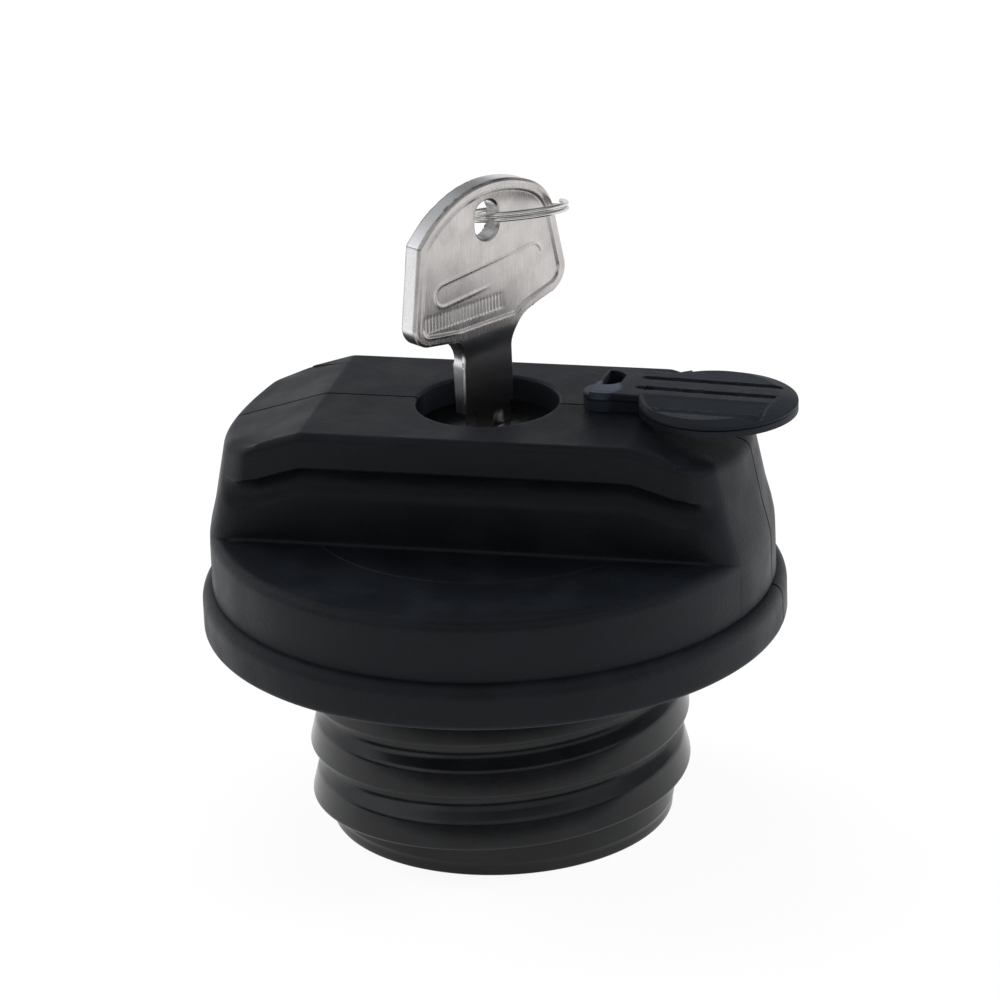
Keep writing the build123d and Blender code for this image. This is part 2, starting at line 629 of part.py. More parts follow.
def lock_housing():
    """Cylinder that holds the barrel, dropped in from the well."""
    body = rod(WELL_R - SEAT, HOUSING_LEDGE, HOUSING_TOP) + rod(HOUSING_R, HOUSING_Z, HOUSING_LEDGE)
    body -= rod(BARREL_R + RUN, HOUSING_Z - 1, HOUSING_TOP + 1)
    body -= rod(BARREL_R + COLLAR_W + RUN, COLLAR_Z - SEAT, HOUSING_TOP + 1)
    groove_r = BARREL_R + LOCK_GROOVE
    low = BARREL_TOP - WAFER_TOP - WAFERS * WAFER_PITCH
    groove = block((-groove_r, groove_r), (-LOCK_GROOVE_W / 2, LOCK_GROOVE_W / 2), (low, COLLAR_Z - 1))
    body -= turned_to_key(groove)
    return body - tube(HOUSING_R - CLIP_DEPTH, HOUSING_R + 1, TUBE_Z - CLIP_T - PLAY, TUBE_Z)


def housing_clip():
    """Open spring clip in the housing's groove, under the cover's tube."""
    body = tube(HOUSING_R - CLIP_DEPTH + SEAT, HOUSING_R + CLIP_OUT, TUBE_Z - CLIP_T, TUBE_Z)
    return body - block((-2.5, 2.5), (0, HOUSING_R + 5), (TUBE_Z - CLIP_T - 1, TUBE_Z + 1))


def wafer_heights():
    """Lower faces of the wafers."""
    return [BARREL_TOP - WAFER_TOP - WAFER_T - i * WAFER_PITCH for i in range(WAFERS)]


def lock_barrel():
    """Turning cylinder with the keyway and the wafers' slots."""
    body = rod(BARREL_R, HOUSING_Z, BARREL_TOP) + rod(BARREL_R + COLLAR_W, COLLAR_Z, BARREL_TOP)
    body += tang()
    body -= keyway(BLADE_TIP - PLAY, BARREL_TOP + 1)
    half = WAFER_HALF_W + WAFER_PLAY
    for low in wafer_heights():
        span = (low - WAFER_PLAY, low + WAFER_T + WAFER_PLAY)
        body -= block((-BARREL_R - 1, BARREL_R + 1), (-half, half), span)
        body -= block((-WAFER_SPRING_L / 2 - 0.1, WAFER_SPRING_L / 2 + 0.9),
                      (half - 0.1, SPRING_POCKET_Y + WAFER_SPRING_R + 0.15),
                      (low + WAFER_T / 2 - WAFER_SPRING_R - 0.15, low + WAFER_T / 2 + WAFER_SPRING_R + 0.15))
    body -= rod(CAM_SCREW_R, CAM_Z - 1, HOUSING_Z + 1)
    return turned_to_key(body)


def wafer(low):
    """Plate with a window for the key and a tab for its spring."""
    reach = sqrt(BARREL_R ** 2 - WAFER_HALF_W ** 2) - 0.05
    span = (low, low + WAFER_T)
    body = block((-reach, reach), (-WAFER_HALF_W, WAFER_HALF_W), span)
    body += block((WAFER_SPRING_L / 2 + 0.05, WAFER_SPRING_L / 2 + 0.75),
                  (WAFER_HALF_W - 0.1, SPRING_POCKET_Y + WAFER_SPRING_R), span)
    body -= keyway(low - 1, low + WAFER_T + 1)
    return turned_to_key(body)


def wafer_spring(low):
    """Small coil that pushes one wafer sideways."""
    turn = spring(WAFER_SPRING_R - WAFER_WIRE_R, WAFER_WIRE_R, 5, 0, WAFER_SPRING_L)
    place = Pos(-WAFER_SPRING_L / 2, SPRING_POCKET_Y, low + WAFER_T / 2) * Rot(0, 90, 0)
    return turned_to_key(place * turn)


def barrel_cap():
    """Thin metal face on the barrel, with the key slot."""
    body = rod(BARREL_R + COLLAR_W, BARREL_TOP, HOUSING_TOP)
    body -= keyway(BARREL_TOP - 1, HOUSING_TOP + 1)
    return turned_to_key(body)


def cam():
    """Disc on the barrel's tang, with the pin that moves the bolt."""
    body = turned_to_key(rod(CAM_R, CAM_Z, CAM_TOP) - tang(SEAT))
    pin = rod(CAM_PIN_R, BOLT_Z + PLAY, CAM_TOP)
    start = radians(180 + LOCK_TURN / 2)
    return body + Pos(CAM_THROW * cos(start), CAM_THROW * sin(start), 0) * pin


def cam_screw():
    """Screw that holds the cam on the barrel."""
    return rod(CAM_HEAD_R, CAM_HEAD_Z, CAM_Z) + rod(CAM_SCREW_R - SEAT, CAM_Z, HOUSING_Z)


def lock_bolt():
    """Sliding bolt with the cross slot that the cam's pin runs in."""
    middle = -BOLT_STROKE / 2
    head_x = (middle - BOLT_HEAD_L / 2, middle + BOLT_HEAD_L / 2)
    pin_y = -CAM_THROW
    head = block(head_x, (pin_y - 2.6, pin_y - 2.6 + BOLT_HEAD_W), (BOLT_Z, BOLT_TOP))
    bar = block((middle, DRIVE_IN - BOLT_SHY), (-BOLT_W / 2, BOLT_W / 2), (BOLT_Z, BOLT_TOP))
    reach = CAM_PIN_R + CAM_PIN_PLAY
    slot = block((middle - reach, middle + reach), (pin_y - reach, -CAM_THROW * sqrt(0.5) + reach),
                 (BOLT_Z - 1, BOLT_TOP + 1))
    return head + bar - slot


# ---------------------------------------------------------------- key
def bow_outline():
    """Right half of the bow as (width, height) curves, mirrored to the left."""
    half = [
        Line((NECK_HALF, BOW_BASE), (NECK_HALF, GRIP_TOP + NECK_TOP)),
        ThreePointArc((NECK_HALF, GRIP_TOP + NECK_TOP), (NECK_HALF + 1.1, GRIP_TOP + NECK_TOP + 3.0),
                      (NECK_HALF + 4.0, GRIP_TOP + BOW_LOW)),
        Line((NECK_HALF + 4.0, GRIP_TOP + BOW_LOW), (BOW_HALF - 2.4, GRIP_TOP + BOW_LOW + 0.9)),
        ThreePointArc((BOW_HALF - 2.4, GRIP_TOP + BOW_LOW + 0.9), (BOW_HALF - 0.5, GRIP_TOP + BOW_LOW + 2.4),
                      (BOW_HALF, GRIP_TOP + BOW_WIDE_Z)),
        Line((BOW_HALF, GRIP_TOP + BOW_WIDE_Z), (BOW_CORNER_HALF, GRIP_TOP + BOW_CORNER_Z)),
        ThreePointArc((BOW_CORNER_HALF, GRIP_TOP + BOW_CORNER_Z),
                      (BOW_CORNER_HALF - 1.4, GRIP_TOP + BOW_CORNER_Z + 2.5),
                      (BOW_CORNER_HALF - 3.8, GRIP_TOP + BOW_CORNER_Z + 4.4)),
        ThreePointArc((BOW_CORNER_HALF - 3.8, GRIP_TOP + BOW_CORNER_Z + 4.4), (4.4, GRIP_TOP + BOW_TOP - 0.5),
                      (0, GRIP_TOP + BOW_TOP)),
    ]
    right = Curve() + half
    return right + mirror(right, Plane.YZ) + Line((-NECK_HALF, BOW_BASE), (NECK_HALF, BOW_BASE))


def key():
    """Flat key: bow, neck and cut blade, standing in the key's plane."""
    outline = make_face(Plane.XZ * bow_outline())
    neck_part = block((-BOW_HALF, BOW_HALF), (-BOW_T, BOW_T), (BOW_BASE - 1, GRIP_TOP + NECK_TOP + 1))
    whole = extrude(outline, BOW_T / 2, both=True)
    thin = extrude(outline, BLADE_T / 2, both=True)
    body = (whole - neck_part) + thin
    panel = offset(outline, -PANEL_RIM) & (Plane.XZ * Pos(0, GRIP_TOP + BOW_LOW + 22)
                                           * Rectangle(4 * BOW_HALF, 44))
    for side in (-1, 1):
        body -= Pos(0, side * (BOW_T / 2 - PANEL_DEPTH / 2), 0) * extrude(panel, PANEL_DEPTH / 2, both=True)
    hole = Plane.XZ * Pos(0, GRIP_TOP + KEY_HOLE_Z) * Rot(0, 0, 90) * SlotOverall(KEY_HOLE_H, KEY_HOLE_W)
    body -= extrude(hole, BOW_T, both=True)
    blade = block((-BLADE_HALF, BLADE_HALF), (-BLADE_T / 2, BLADE_T / 2), (BLADE_TIP, BOW_BASE + 1))
    blade = chamfer(blade.edges().filter_by(Axis.Y).group_by(Axis.Z)[0], 1.4)
    for low in wafer_heights():
        notch = Rot(0, 45, 0) * Box(BLADE_CUT * 1.5, BOW_T * 2, BLADE_CUT * 1.5)
        blade -= Pos(-BLADE_HALF, 0, low + WAFER_T / 2) * notch
    for side in (-1, 1):
        blade -= block((-0.7 + side * 0.9, 0.7 + side * 0.9),
                       (side * BLADE_T / 2 - BLADE_MILL, side * BLADE_T / 2 + BLADE_MILL),
                       (BLADE_TIP - 1, BOW_BASE - 1.0))
    return turned_to_key(body + blade)


def key_ring():
    """Split ring of nearly two turns, through the bow's hole and round its edge."""
    pitch = 2 * RING_WIRE_R + 0.06
    wound = coil(RING_R, RING_WIRE_R, pitch, pitch * RING_TURNS, -pitch * RING_TURNS / 2)
    place = Pos(RING_R, 0, GRIP_TOP + KEY_HOLE_Z) * Rot(-RING_TILT, 0, 0) * Rot(0, 0, RING_GAP_AZ)
    return turned_to_key(place * wound)


# ---------------------------------------------------------------- keyhole flap
def flap_frame(shape):
    """Place a shape that is drawn with the pivot at the origin and the arm along +X."""
    return Pos(PIVOT_X, 0, 0) * Rot(0, 0, FLAP_AZ) * shape


def keyhole_cover():
    """Swinging flap: disc with ribs, wide arm, pivot eye and post."""
    low = GRIP_TOP + FLAP_LIFT
    groove_z = low + FLAP_SKIRT
    plate_z = groove_z + FLAP_GROOVE
    top = plate_z + FLAP_PLATE
    edge_z = plate_z + FLAP_EDGE
    disc = turned([
        (0, low), (FLAP_R - 0.1, low), (FLAP_R - 0.1, groove_z), (FLAP_R - 0.4, groove_z),
        (FLAP_R - 0.4, plate_z), (FLAP_R, plate_z), (FLAP_R, edge_z), (0, edge_z),
    ])
    crown = loft([Pos(0, 0, edge_z) * Circle(FLAP_R), Pos(-CROWN_SHIFT, 0, top) * Circle(FLAP_R - CROWN_IN)])
    disc = Pos(PIVOT_X, 0, 0) * (disc + crown)
    arm_end = PIVOT_X - FLAP_R * 0.55
    foot = GRIP_TOP + PLAY
    arm_plan = Polyline((ARM_START, -ARM_FRONT), (arm_end, -ARM_FRONT), (arm_end, ARM_BACK - 1.0),
                        (ARM_START, ARM_BACK), close=True)
    arm_face = make_face(arm_plan)
    back_corner = arm_face.vertices().sort_by(Axis.X)[:2].sort_by(Axis.Y)[-1]
    arm_face = fillet([back_corner], ARM_CORNER)
    foot_end = ARM_START + GRIP_FLAT - PIVOT_X
    arm = Pos(0, 0, low) * extrude(arm_face, top - low)
    pad = Pos(0, 0, foot) * extrude(arm_face, low - foot) & block((-9, foot_end), (-20, 20), (foot, low))
    body = disc + arm + pad + rod(EYE_R, foot, top)
    window = Pos(WINDOW_X, WINDOW_Y, 0) * rod(WINDOW_W / 2, foot - 1, top + 1)
    body -= window & block((WINDOW_X - 0.4, WINDOW_X + WINDOW_L - 0.4), (-20, 20), (foot - 1, top + 1))
    for offset_y in RIB_OFFSETS:
        y = offset_y * RIB_PITCH
        half = sqrt((FLAP_R - RIB_EDGE) ** 2 - y ** 2)
        cut = Pos(PIVOT_X, y, 0) * block((-half, half), (-RIB_W / 2, RIB_W / 2), (top - RIB_DEPTH, top + 1))
        body -= cut
    body += rod(POST_R, POST_END, foot + 0.1)
    return flap_frame(body)


def flap_washer():
    """Friction washer under the grip's top."""
    roof = GRIP_TOP - COVER_WALL
    return Pos(PIVOT_X, 0, 0) * tube(POST_R + RUN, POST_R + WASHER_W, roof - WASHER_T, roof)


def flap_clip():
    """Push-on washer that holds the flap's post."""
    top = GRIP_TOP - COVER_WALL - WASHER_T
    ring = tube(POST_R, POST_R + FLAP_CLIP_W, top - FLAP_CLIP_T, top)
    for cut in around(block((POST_R - 0.5, POST_R + 0.9), (-0.3, 0.3), (top - 2, top + 1)), 4, 45):
        ring -= cut
    return Pos(PIVOT_X, 0, 0) * ring


# ---------------------------------------------------------------- write the files
def build():
    """All sub-parts by node name."""
    return {
        "neck_plug": neck_plug(),
        "neck_gasket": neck_gasket(),
        "drive_ring": drive_ring(),
        "drive_ring_screws": group(around(drive_screw(), DRIVE_SCREWS, DRIVE_SCREW_AZ)),
        "valve_cage": valve_cage(),
        "relief_valve_seal": valve_seal(),
        "relief_valve": relief_valve(),
        "relief_spring": spring(RELIEF_COIL_R, RELIEF_WIRE_R, RELIEF_TURNS, VALVE_TOP, CAGE_ROOF),
        "vacuum_valve": vacuum_valve(),
        "vacuum_spring": spring(VACUUM_COIL_R, VACUUM_WIRE_R, VACUUM_TURNS, HUB_TOP, VACUUM_TOP),
        "vacuum_spring_cap": vacuum_spring_cap(),
        "inlet_grille": inlet_grille(),
        "outer_cover": outer_cover(),
        "retaining_ring": retaining_ring(),
        "lock_plate": lock_plate(),
        "lock_plate_screws": group([Rot(0, 0, azimuth) * plate_screw() for azimuth in BOSS_AZ]),
        "lock_housing": lock_housing(),
        "housing_clip": housing_clip(),
        "lock_barrel": lock_barrel(),
        "lock_wafers": group([wafer(low) for low in wafer_heights()]),
        "wafer_springs": group([wafer_spring(low) for low in wafer_heights()]),
        "barrel_cap": barrel_cap(),
        "bolt_cam": cam(),
        "cam_screw": cam_screw(),
        "lock_bolt": lock_bolt(),
        "cap_key": key(),
        "key_ring": key_ring(),
        "keyhole_cover": keyhole_cover(),
        "flap_washer": flap_washer(),
        "flap_clip": flap_clip(),
    }


os.makedirs("parts", exist_ok=True)
for node, solid in build().items():
    export_step(solid, os.path.join("parts", node + ".step"))
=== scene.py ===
import json
from math import cos, pi, radians, sin, tan

import bmesh
import bpy
import numpy as np
from mathutils import Matrix, Vector


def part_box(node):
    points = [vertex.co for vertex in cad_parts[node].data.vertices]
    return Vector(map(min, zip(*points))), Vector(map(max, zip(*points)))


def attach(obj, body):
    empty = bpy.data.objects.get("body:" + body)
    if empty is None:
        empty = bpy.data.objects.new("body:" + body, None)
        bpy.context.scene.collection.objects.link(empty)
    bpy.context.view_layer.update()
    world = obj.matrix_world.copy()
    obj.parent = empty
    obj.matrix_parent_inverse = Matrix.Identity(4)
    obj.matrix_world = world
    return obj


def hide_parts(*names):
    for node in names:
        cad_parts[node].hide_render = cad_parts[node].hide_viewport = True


bl_info = {
    "name": "Locking fuel cap",
    "version": (1, 0, 0),
    "blender": (4, 5, 0),
    "location": "3D View > Sidebar > Fuel cap",
    "description": "Moulded cover, threaded neck, key, split ring and keyhole flap around the packed cap",
    "category": "Object",
}

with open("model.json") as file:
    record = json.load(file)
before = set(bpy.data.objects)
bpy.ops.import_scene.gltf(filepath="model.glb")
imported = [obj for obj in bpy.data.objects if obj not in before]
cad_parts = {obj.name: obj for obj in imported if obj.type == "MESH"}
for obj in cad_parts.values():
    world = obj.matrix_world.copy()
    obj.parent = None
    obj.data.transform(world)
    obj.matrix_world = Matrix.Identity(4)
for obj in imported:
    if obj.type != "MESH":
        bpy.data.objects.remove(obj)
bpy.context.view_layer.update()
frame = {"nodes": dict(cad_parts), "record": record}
MM = 0.001


def lowest(node):
    """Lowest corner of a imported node, in metres."""
    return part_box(node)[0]


def highest(node):
    """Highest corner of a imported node, in metres."""
    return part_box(node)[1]


# ---- cover sizes, in metres
RIM_R = highest("outer_cover").x
RIM_Z = lowest("outer_cover").z
RIM_TOP = RIM_Z + 4.3 * MM
RIM_EDGE = 0.9 * MM
GRIP_TOP = highest("outer_cover").z
BAND_R = RIM_R - 1.5 * MM
BAND_ROUND = 1.5 * MM
LEDGE_Z = RIM_TOP + 2.0 * MM
FLOOR_Z = GRIP_TOP - 16.2 * MM
FLOOR_LINE_R = 25.0 * MM
FLOOR_LINE_HALF = 0.25 * MM
CEILING_Z = FLOOR_Z - 2.5 * MM
HIDDEN_Z = CEILING_Z + 0.4 * MM
HIDDEN_IN = 0.5 * MM
POCKET_R = RIM_R - 2.6 * MM
POCKET_EDGE = 0.2 * MM
RETAINER_TOP = highest("retaining_ring").z
FLANGE_TOP = lowest("drive_ring").z
FLANGE_GAP, FLANGE_PLAY, CEILING_IN = 0.06 * MM, 0.1 * MM, 1.2 * MM
WALL_HALF = 14.8 * MM
HOLLOW_HALF = 14.3 * MM
LIP_HALF = 15.9 * MM
LIP_ROUND = 1.1 * MM
LIP_UNDER = 0.45 * MM
LIP_Z = GRIP_TOP - 5.0 * MM
LIP_FULL = 29.5 * MM
LIP_GONE = 32.6 * MM
SWEEP_H = 4.2 * MM
GRIP_FLAT = 22.5 * MM
CREASE_HALF = 1.5 * MM
SIDE_END = 30.3 * MM
END_SLOPE = radians(17.4)
END_LEAN = radians(11.0)
END_ROUND = 2.0 * MM
CORNER_R = 4.5 * MM
PLAN_R = 35.6 * MM
WELL_R = 9.7 * MM
WELL_ROUND = 0.45 * MM
HOUSING_LEDGE = GRIP_TOP - 5.0 * MM
TUBE_R = 8.35 * MM
SKIN = 0.06 * MM    # how far the end walls stand proud of the band
LEAN_START = FLOOR_Z - BAND_ROUND + 0.6 * MM
LEAN_IN = 0.25 * MM
FOOT_POINTS = 7
EDGE_POINTS = 10

# neck
NECK_R = 23.9 * MM
PILOT_R = 23.65 * MM
PILOT_H = 2.0 * MM
PILOT_EDGE = 0.1 * MM
FOOT_ROUND = 0.35 * MM
CREST_H = 2.49 * MM
CREST_END = 3.73 * MM
CREST_LOW = 1.56 * MM
FLANK_END = 5.55 * MM
THREAD_PITCH = 7.55 * MM
THREAD_TURNS = 2.60
THREAD_AZ = radians(140.0)
THREAD_Z = 2.15 * MM
FLANGE_Z = highest("neck_gasket").z
FLANGE_R = RIM_R - 5.0 * MM
BORE_R = 20.4 * MM
LOW_BORE_R = 18.6 * MM
CAGE_LEDGE = 22.0 * MM
NECK_FLOOR_Z = lowest("inlet_grille").z
GRILLE_SEAT_Z = NECK_FLOOR_Z + 0.9 * MM
GRILLE_SEAT_R = 9.05 * MM
NECK_FLOOR_TOP = NECK_FLOOR_Z + 2.6 * MM
PORT_R = 7.0 * MM
COLLAR_IN, COLLAR_OUT, COLLAR_H = 8.4 * MM, 9.4 * MM, 1.0 * MM

# key, with what lies on its bow in millimetres across the bow and above the grip
KEY_AZ = radians(56.0)
KEY_TIP = lowest("cap_key").z
BLADE_HALF = 3.1 * MM
BLADE_T = 2.2 * MM
BLADE_TOP = GRIP_TOP - 0.4 * MM
TIP_LENGTH = 1.4 * MM
CUT_TOP, CUT_PITCH, CUT_DEPTH, CUT_COUNT = 52.1 * MM, 2.6 * MM, 0.85 * MM, 4
GROOVE_X, GROOVE_HALF, GROOVE_DEPTH = 0.9 * MM, 0.75 * MM, 0.5 * MM
BOW_T = 2.9 * MM
TOP_STEP = 0.02 * MM
KEY_HOLE_Z = GRIP_TOP + 26.0 * MM
HOLE_R = 2.05 * MM
HOLE_HALF = 0.6 * MM
HOLE_SINK, HOLE_SOFT = 0.3 * MM, 0.45 * MM
BORDER_INSET, BORDER_H, PANEL_LOW = 1.3, 0.05 * MM, 11.75
LABEL_START, LABEL_END, LABEL_HALF, LABEL_H = (-8.2, 17.55), (8.0, 19.05), 1.6, 0.07 * MM
RIB_LEFT, RIB_RIGHT, RIB_LOW, RIB_HIGH, RIB_PITCH = -12.4, 2.6, 12.9, 15.4, 0.59
BOW_RIGHT = {
    "foot": (4.1, -0.4), "neck": (4.1, 7.2), "flare": (5.2, 10.2), "wing": (8.2, 11.9), "low": (11.6, 12.8),
    "turn": (13.5, 14.2), "wide": (14.1, 16.6), "corner": (12.3, 25.0), "brow": (10.9, 27.5),
    "crown": (8.5, 29.4), "dome": (4.4, 30.8), "top": (0.0, 31.2),
}
BOW_LEFT = {
    "foot": (5.1, -0.4), "neck": (5.1, 6.6), "flare": (5.5, 9.1), "wing": (6.9, 10.4), "low": (11.0, 10.95),
    "turn": (13.0, 11.9), "wide": (13.85, 13.9), "corner": (12.4, 25.1), "brow": (9.9, 27.5),
    "crown": (6.9, 29.4), "dome": (3.6, 30.7), "top": (0.0, 31.2),
}

# split ring
RING_R = 6.75 * MM
RING_WIRE = 0.32 * MM
RING_PITCH = 2 * RING_WIRE + 0.06 * MM
RING_TURNS = 1.9
RING_TILT = radians(12.0)
RING_DIP = radians(7.0)
RING_GAP_AZ = radians(20.0)

# flap, with its slots and the (place, depth) of its flutes in millimetres
PIVOT = Vector((16.0 * MM, 0, 0))
FLAP_AZ = radians(-4.2)
FLAP_R = 10.7 * MM
FLAP_CENTRE = 16.0 * MM
FLAP_LOW = GRIP_TOP + 0.7 * MM
FLAP_TOP = highest("keyhole_cover").z
FLAP_EDGE_Z = FLAP_TOP - 0.6 * MM
CROWN_IN = 1.4 * MM
CROWN_SHIFT = 1.2 * MM
EYE_R = 2.7 * MM
EYE_STEP = 0.35 * MM
ARM_START = -1.3 * MM
ARM_END = FLAP_CENTRE - 0.55 * FLAP_R
ARM_FRONT, ARM_BACK, ARM_CORNER = 2.2 * MM, 8.2 * MM, 2.5 * MM
ARM_TAPER = 0.0935
PAD_END = 6.0 * MM
PLATE_Z, SKIRT_Z = FLAP_TOP - 0.9 * MM, FLAP_LOW + 0.85 * MM
GROOVE_IN, SKIRT_IN = 0.35 * MM, 0.12 * MM
SOFT_EDGE, SOFT_DROP = 0.40 * MM, 0.28 * MM
SLOTS, SLOT_ENDS, SLOT_DEPTH = (4.7, 0.9), (4.9, 23.2), 0.75 * MM
FLUTES = ((-7.5, 0), (-7.1, 0.45), (-6.6, 0.40), (-5.6, 0.15), (-5.3, 0.50), (-4.8, 0.50), (-2.0, 0.14),
          (-1.3, 0))

# stage
CAP_MIDDLE = Vector((0, 0, 32 * MM))
LAMP_AIM = Vector((0, 0, 45 * MM))


# ---- settings that a user would change
def colour(name, text, value):
    """A linear colour setting."""
    return bpy.props.FloatVectorProperty(name=name, description=text, default=value, subtype="COLOR",
                                         min=0, max=1, size=3)


def share(name, text, value):
    """A setting from 0 to 1."""
    return bpy.props.FloatProperty(name=name, description=text, default=value, min=0, max=1,
                                   subtype="FACTOR")


def length(name, text, value):
    """A setting in metres."""
    return bpy.props.FloatProperty(name=name, description=text, default=value, min=0, unit="LENGTH",
                                   precision=5)


def angle(name, text, value):
    """A setting in radians."""
    return bpy.props.FloatProperty(name=name, description=text, default=value, subtype="ANGLE")


class CapFinishes(bpy.types.PropertyGroup):
    """Colours and surface finish of the pieces that show."""
    cover: colour("Cover", "Black of the grained cover and flap", (0.0058, 0.0070, 0.0092))
    cover_roughness: share("Cover roughness", "Roughness of the grained plastic", 0.48)
    grain: length("Grain", "Size of the moulded grain", 0.22 * MM)
    neck: colour("Neck", "Black of the smooth neck", (0.0065, 0.007, 0.008))
    neck_roughness: share("Neck roughness", "Roughness of the smooth neck", 0.17)
    nickel: colour("Nickel", "Colour of the key's plating", (0.50, 0.475, 0.465))
    # Brighter nickel for the key's edges: a painted highlight.
    edge_highlight_nickel: colour("Highlight nickel", "Colour of the key's bright edges", (0.80, 0.79, 0.80))
    nickel_roughness: share("Nickel roughness", "Roughness of the key's plating", 0.30)
    steel: colour("Steel", "Colour of the split ring", (0.62, 0.61, 0.59))


class CapSizes(bpy.types.PropertyGroup):
    """Small forms that are only in the looks."""
    floor_line: length("Floor line", "Height of the fine bead on the finger floor", 0.14 * MM)
    foot_round: length("Foot", "Radius where the grip meets the finger floor", 0.6 * MM)
    key_bevel: length("Key bevel", "Bevel round the key's bow", 0.35 * MM)
    panel_depth: length("Panel", "How deep the bow's panel lies", 0.16 * MM)
    rib_height: length("Ribs", "Height of the bow's fine ribs", 0.05 * MM)


class CapStage(bpy.types.PropertyGroup):
    """Camera and light."""
    azimuth: angle("Azimuth", "Camera's direction about the cap", radians(13.66))
    elevation: angle("Elevation", "Camera's height above the horizon", radians(22.87))
    roll: angle("Roll", "Camera's tilt to one side", radians(2.26))
    distance: length("Distance", "Camera to the middle of the cap", 0.700)


# ---- surfaces
def grid(points, loop_u=False, loop_v=False):
    """Quads between neighbours of a (rows, columns, 3) array, closed along an axis where asked."""
    rows, columns = points.shape[:2]
    row = np.arange(rows if loop_u else rows - 1)
    column = np.arange(columns if loop_v else columns - 1)
    a, b = np.meshgrid(row, column, indexing="ij")
    c, d = (a + 1) % rows, (b + 1) % columns
    quads = np.stack([a * columns + b, c * columns + b, c * columns + d, a * columns + d], -1)
    return points.reshape(-1, 3), quads.reshape(-1, 4)


def fan(ring):
    """Triangles between a closed ring of points and its middle."""
    count = len(ring)
    index = np.arange(count)
    faces = np.stack([index, (index + 1) % count, np.full(count, count)], -1)
    return np.vstack([ring, ring.mean(0)]), faces


def shade(mesh, sharp):
    """Smooth shading, with edges sharper than an angle kept sharp."""
    mesh.polygons.foreach_set("use_smooth", np.ones(len(mesh.polygons), bool))
    mesh.set_sharp_from_angle(angle=sharp)


def make_piece(name, shells, sharp=radians(35)):
    """One mesh object of several shells, with doubles merged, faces turned outwards and smooth shading."""
    points, faces, start = [], [], 0
    for shell_points, shell_faces in shells:
        points.append(shell_points)
        faces += (shell_faces + start).tolist()
        start += len(shell_points)
    mesh = bpy.data.meshes.new(name)
    mesh.from_pydata(np.vstack(points).tolist(), [], faces)
    work = bmesh.new()
    work.from_mesh(mesh)
    bmesh.ops.remove_doubles(work, verts=work.verts, dist=2e-7)
    bmesh.ops.dissolve_degenerate(work, edges=work.edges, dist=1e-7)
    bmesh.ops.recalc_face_normals(work, faces=work.faces)
    work.to_mesh(mesh)
    work.free()
    shade(mesh, sharp)
    piece = bpy.data.objects.new(name, mesh)
    bpy.context.scene.collection.objects.link(piece)
    return piece


def cut_through(piece, low, high):
    """Take the prism between two rings of points away from a piece, and bake the result."""
    cutter = make_piece("cutter", [grid(np.stack([low, high]), loop_v=True), fan(low), fan(high)])
    modifier = piece.modifiers.new("hole", "BOOLEAN")
    modifier.operation = "DIFFERENCE"
    modifier.solver = "EXACT"
    modifier.object = cutter
    depsgraph = bpy.context.evaluated_depsgraph_get()
    result = bpy.data.meshes.new_from_object(piece.evaluated_get(depsgraph))
    piece.modifiers.clear()
    piece.data = result
    shade(result, radians(35))
    bpy.data.objects.remove(cutter)


def settle(piece, material, body, slot, *nodes):
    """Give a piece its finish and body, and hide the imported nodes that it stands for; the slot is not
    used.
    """
    piece.data.materials.append(material)
    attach(piece, body)
    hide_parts(*nodes)


def arc(start, through, end, count):
    """Points of the circle through three points in a plane, from the first to the last.

    With complex a, b, c and w = (c - a) / (b - a), its centre is a + (b - a) (w - |w|^2) / (2i Im w)."""
    a, b, c = (complex(*p) for p in (start, through, end))
    w = (c - a) / (b - a)
    centre = a + (b - a) * (w - abs(w) ** 2) / (2j * w.imag)
    angles = np.unwrap(np.angle([a - centre, b - centre, c - centre]))
    swept = centre + abs(a - centre) * np.exp(1j * np.linspace(angles[0], angles[2], count))
    return np.stack([swept.real, swept.imag], -1)


def quarter(start, corner, end, count):
    """Quarter of a circle or ellipse that leaves start towards the corner and reaches end coming from it.

    With c = start + end - corner it is c + (start - c) cos(t) + (end - c) sin(t), t from 0 to 90 degrees."""
    start, corner, end = (np.array(p, float) for p in (start, corner, end))
    t = np.linspace(0, pi / 2, count)[:, None]
    return start + end - corner + (corner - end) * np.cos(t) + (corner - start) * np.sin(t)


def run(*points, step):
    """Straight stretches through the points, cut into pieces of about one step."""
    pieces = []
    for a, b in zip(points[:-1], points[1:]):
        a, b = np.array(a, float), np.array(b, float)
        count = max(1, int(np.ceil(np.linalg.norm(b - a) / step)))
        pieces.append(a + (b - a) * np.linspace(0, 1, count + 1)[:, None])
    return np.vstack(pieces)


def path(*stretches):
    """Stretches of points joined into one line, without the doubled points."""
    line = np.vstack(stretches)
    keep = np.ones(len(line), bool)
    keep[1:] = np.linalg.norm(np.diff(line, axis=0), axis=1) > 1e-7
    return line[keep]


def around(profile, angles):
    """Each (radius, height) of a profile turned about Z through all the angles."""
    radius, height = profile[:, :1], profile[:, 1:]
    return np.stack([radius * np.cos(angles), radius * np.sin(angles),
                     np.broadcast_to(height, (len(profile), len(angles)))], -1)


def whole_turn(count):
    """Angles spread evenly over a turn."""
    return np.arange(count) * 2 * pi / count


def turned(points, angle, place=(0, 0, 0)):
    """Points turned about Z, then moved."""
    c, s = cos(angle), sin(angle)
    return points @ np.array([[c, s, 0], [-s, c, 0], [0, 0, 1]]) + np.array(place)


def smooth(low, high, value):
    """0 below low, 1 above high, and an even S between."""
    t = np.clip((value - low) / (high - low), 0, 1)
    return t * t * (3 - 2 * t)


def ramp(past, slope, soft):
    """Nothing, then a straight slope, with a soft bend between: tan(slope) (p + sqrt(p^2 + soft^2)) / 2."""
    return tan(slope) * (past + np.sqrt(past ** 2 + soft ** 2)) / 2


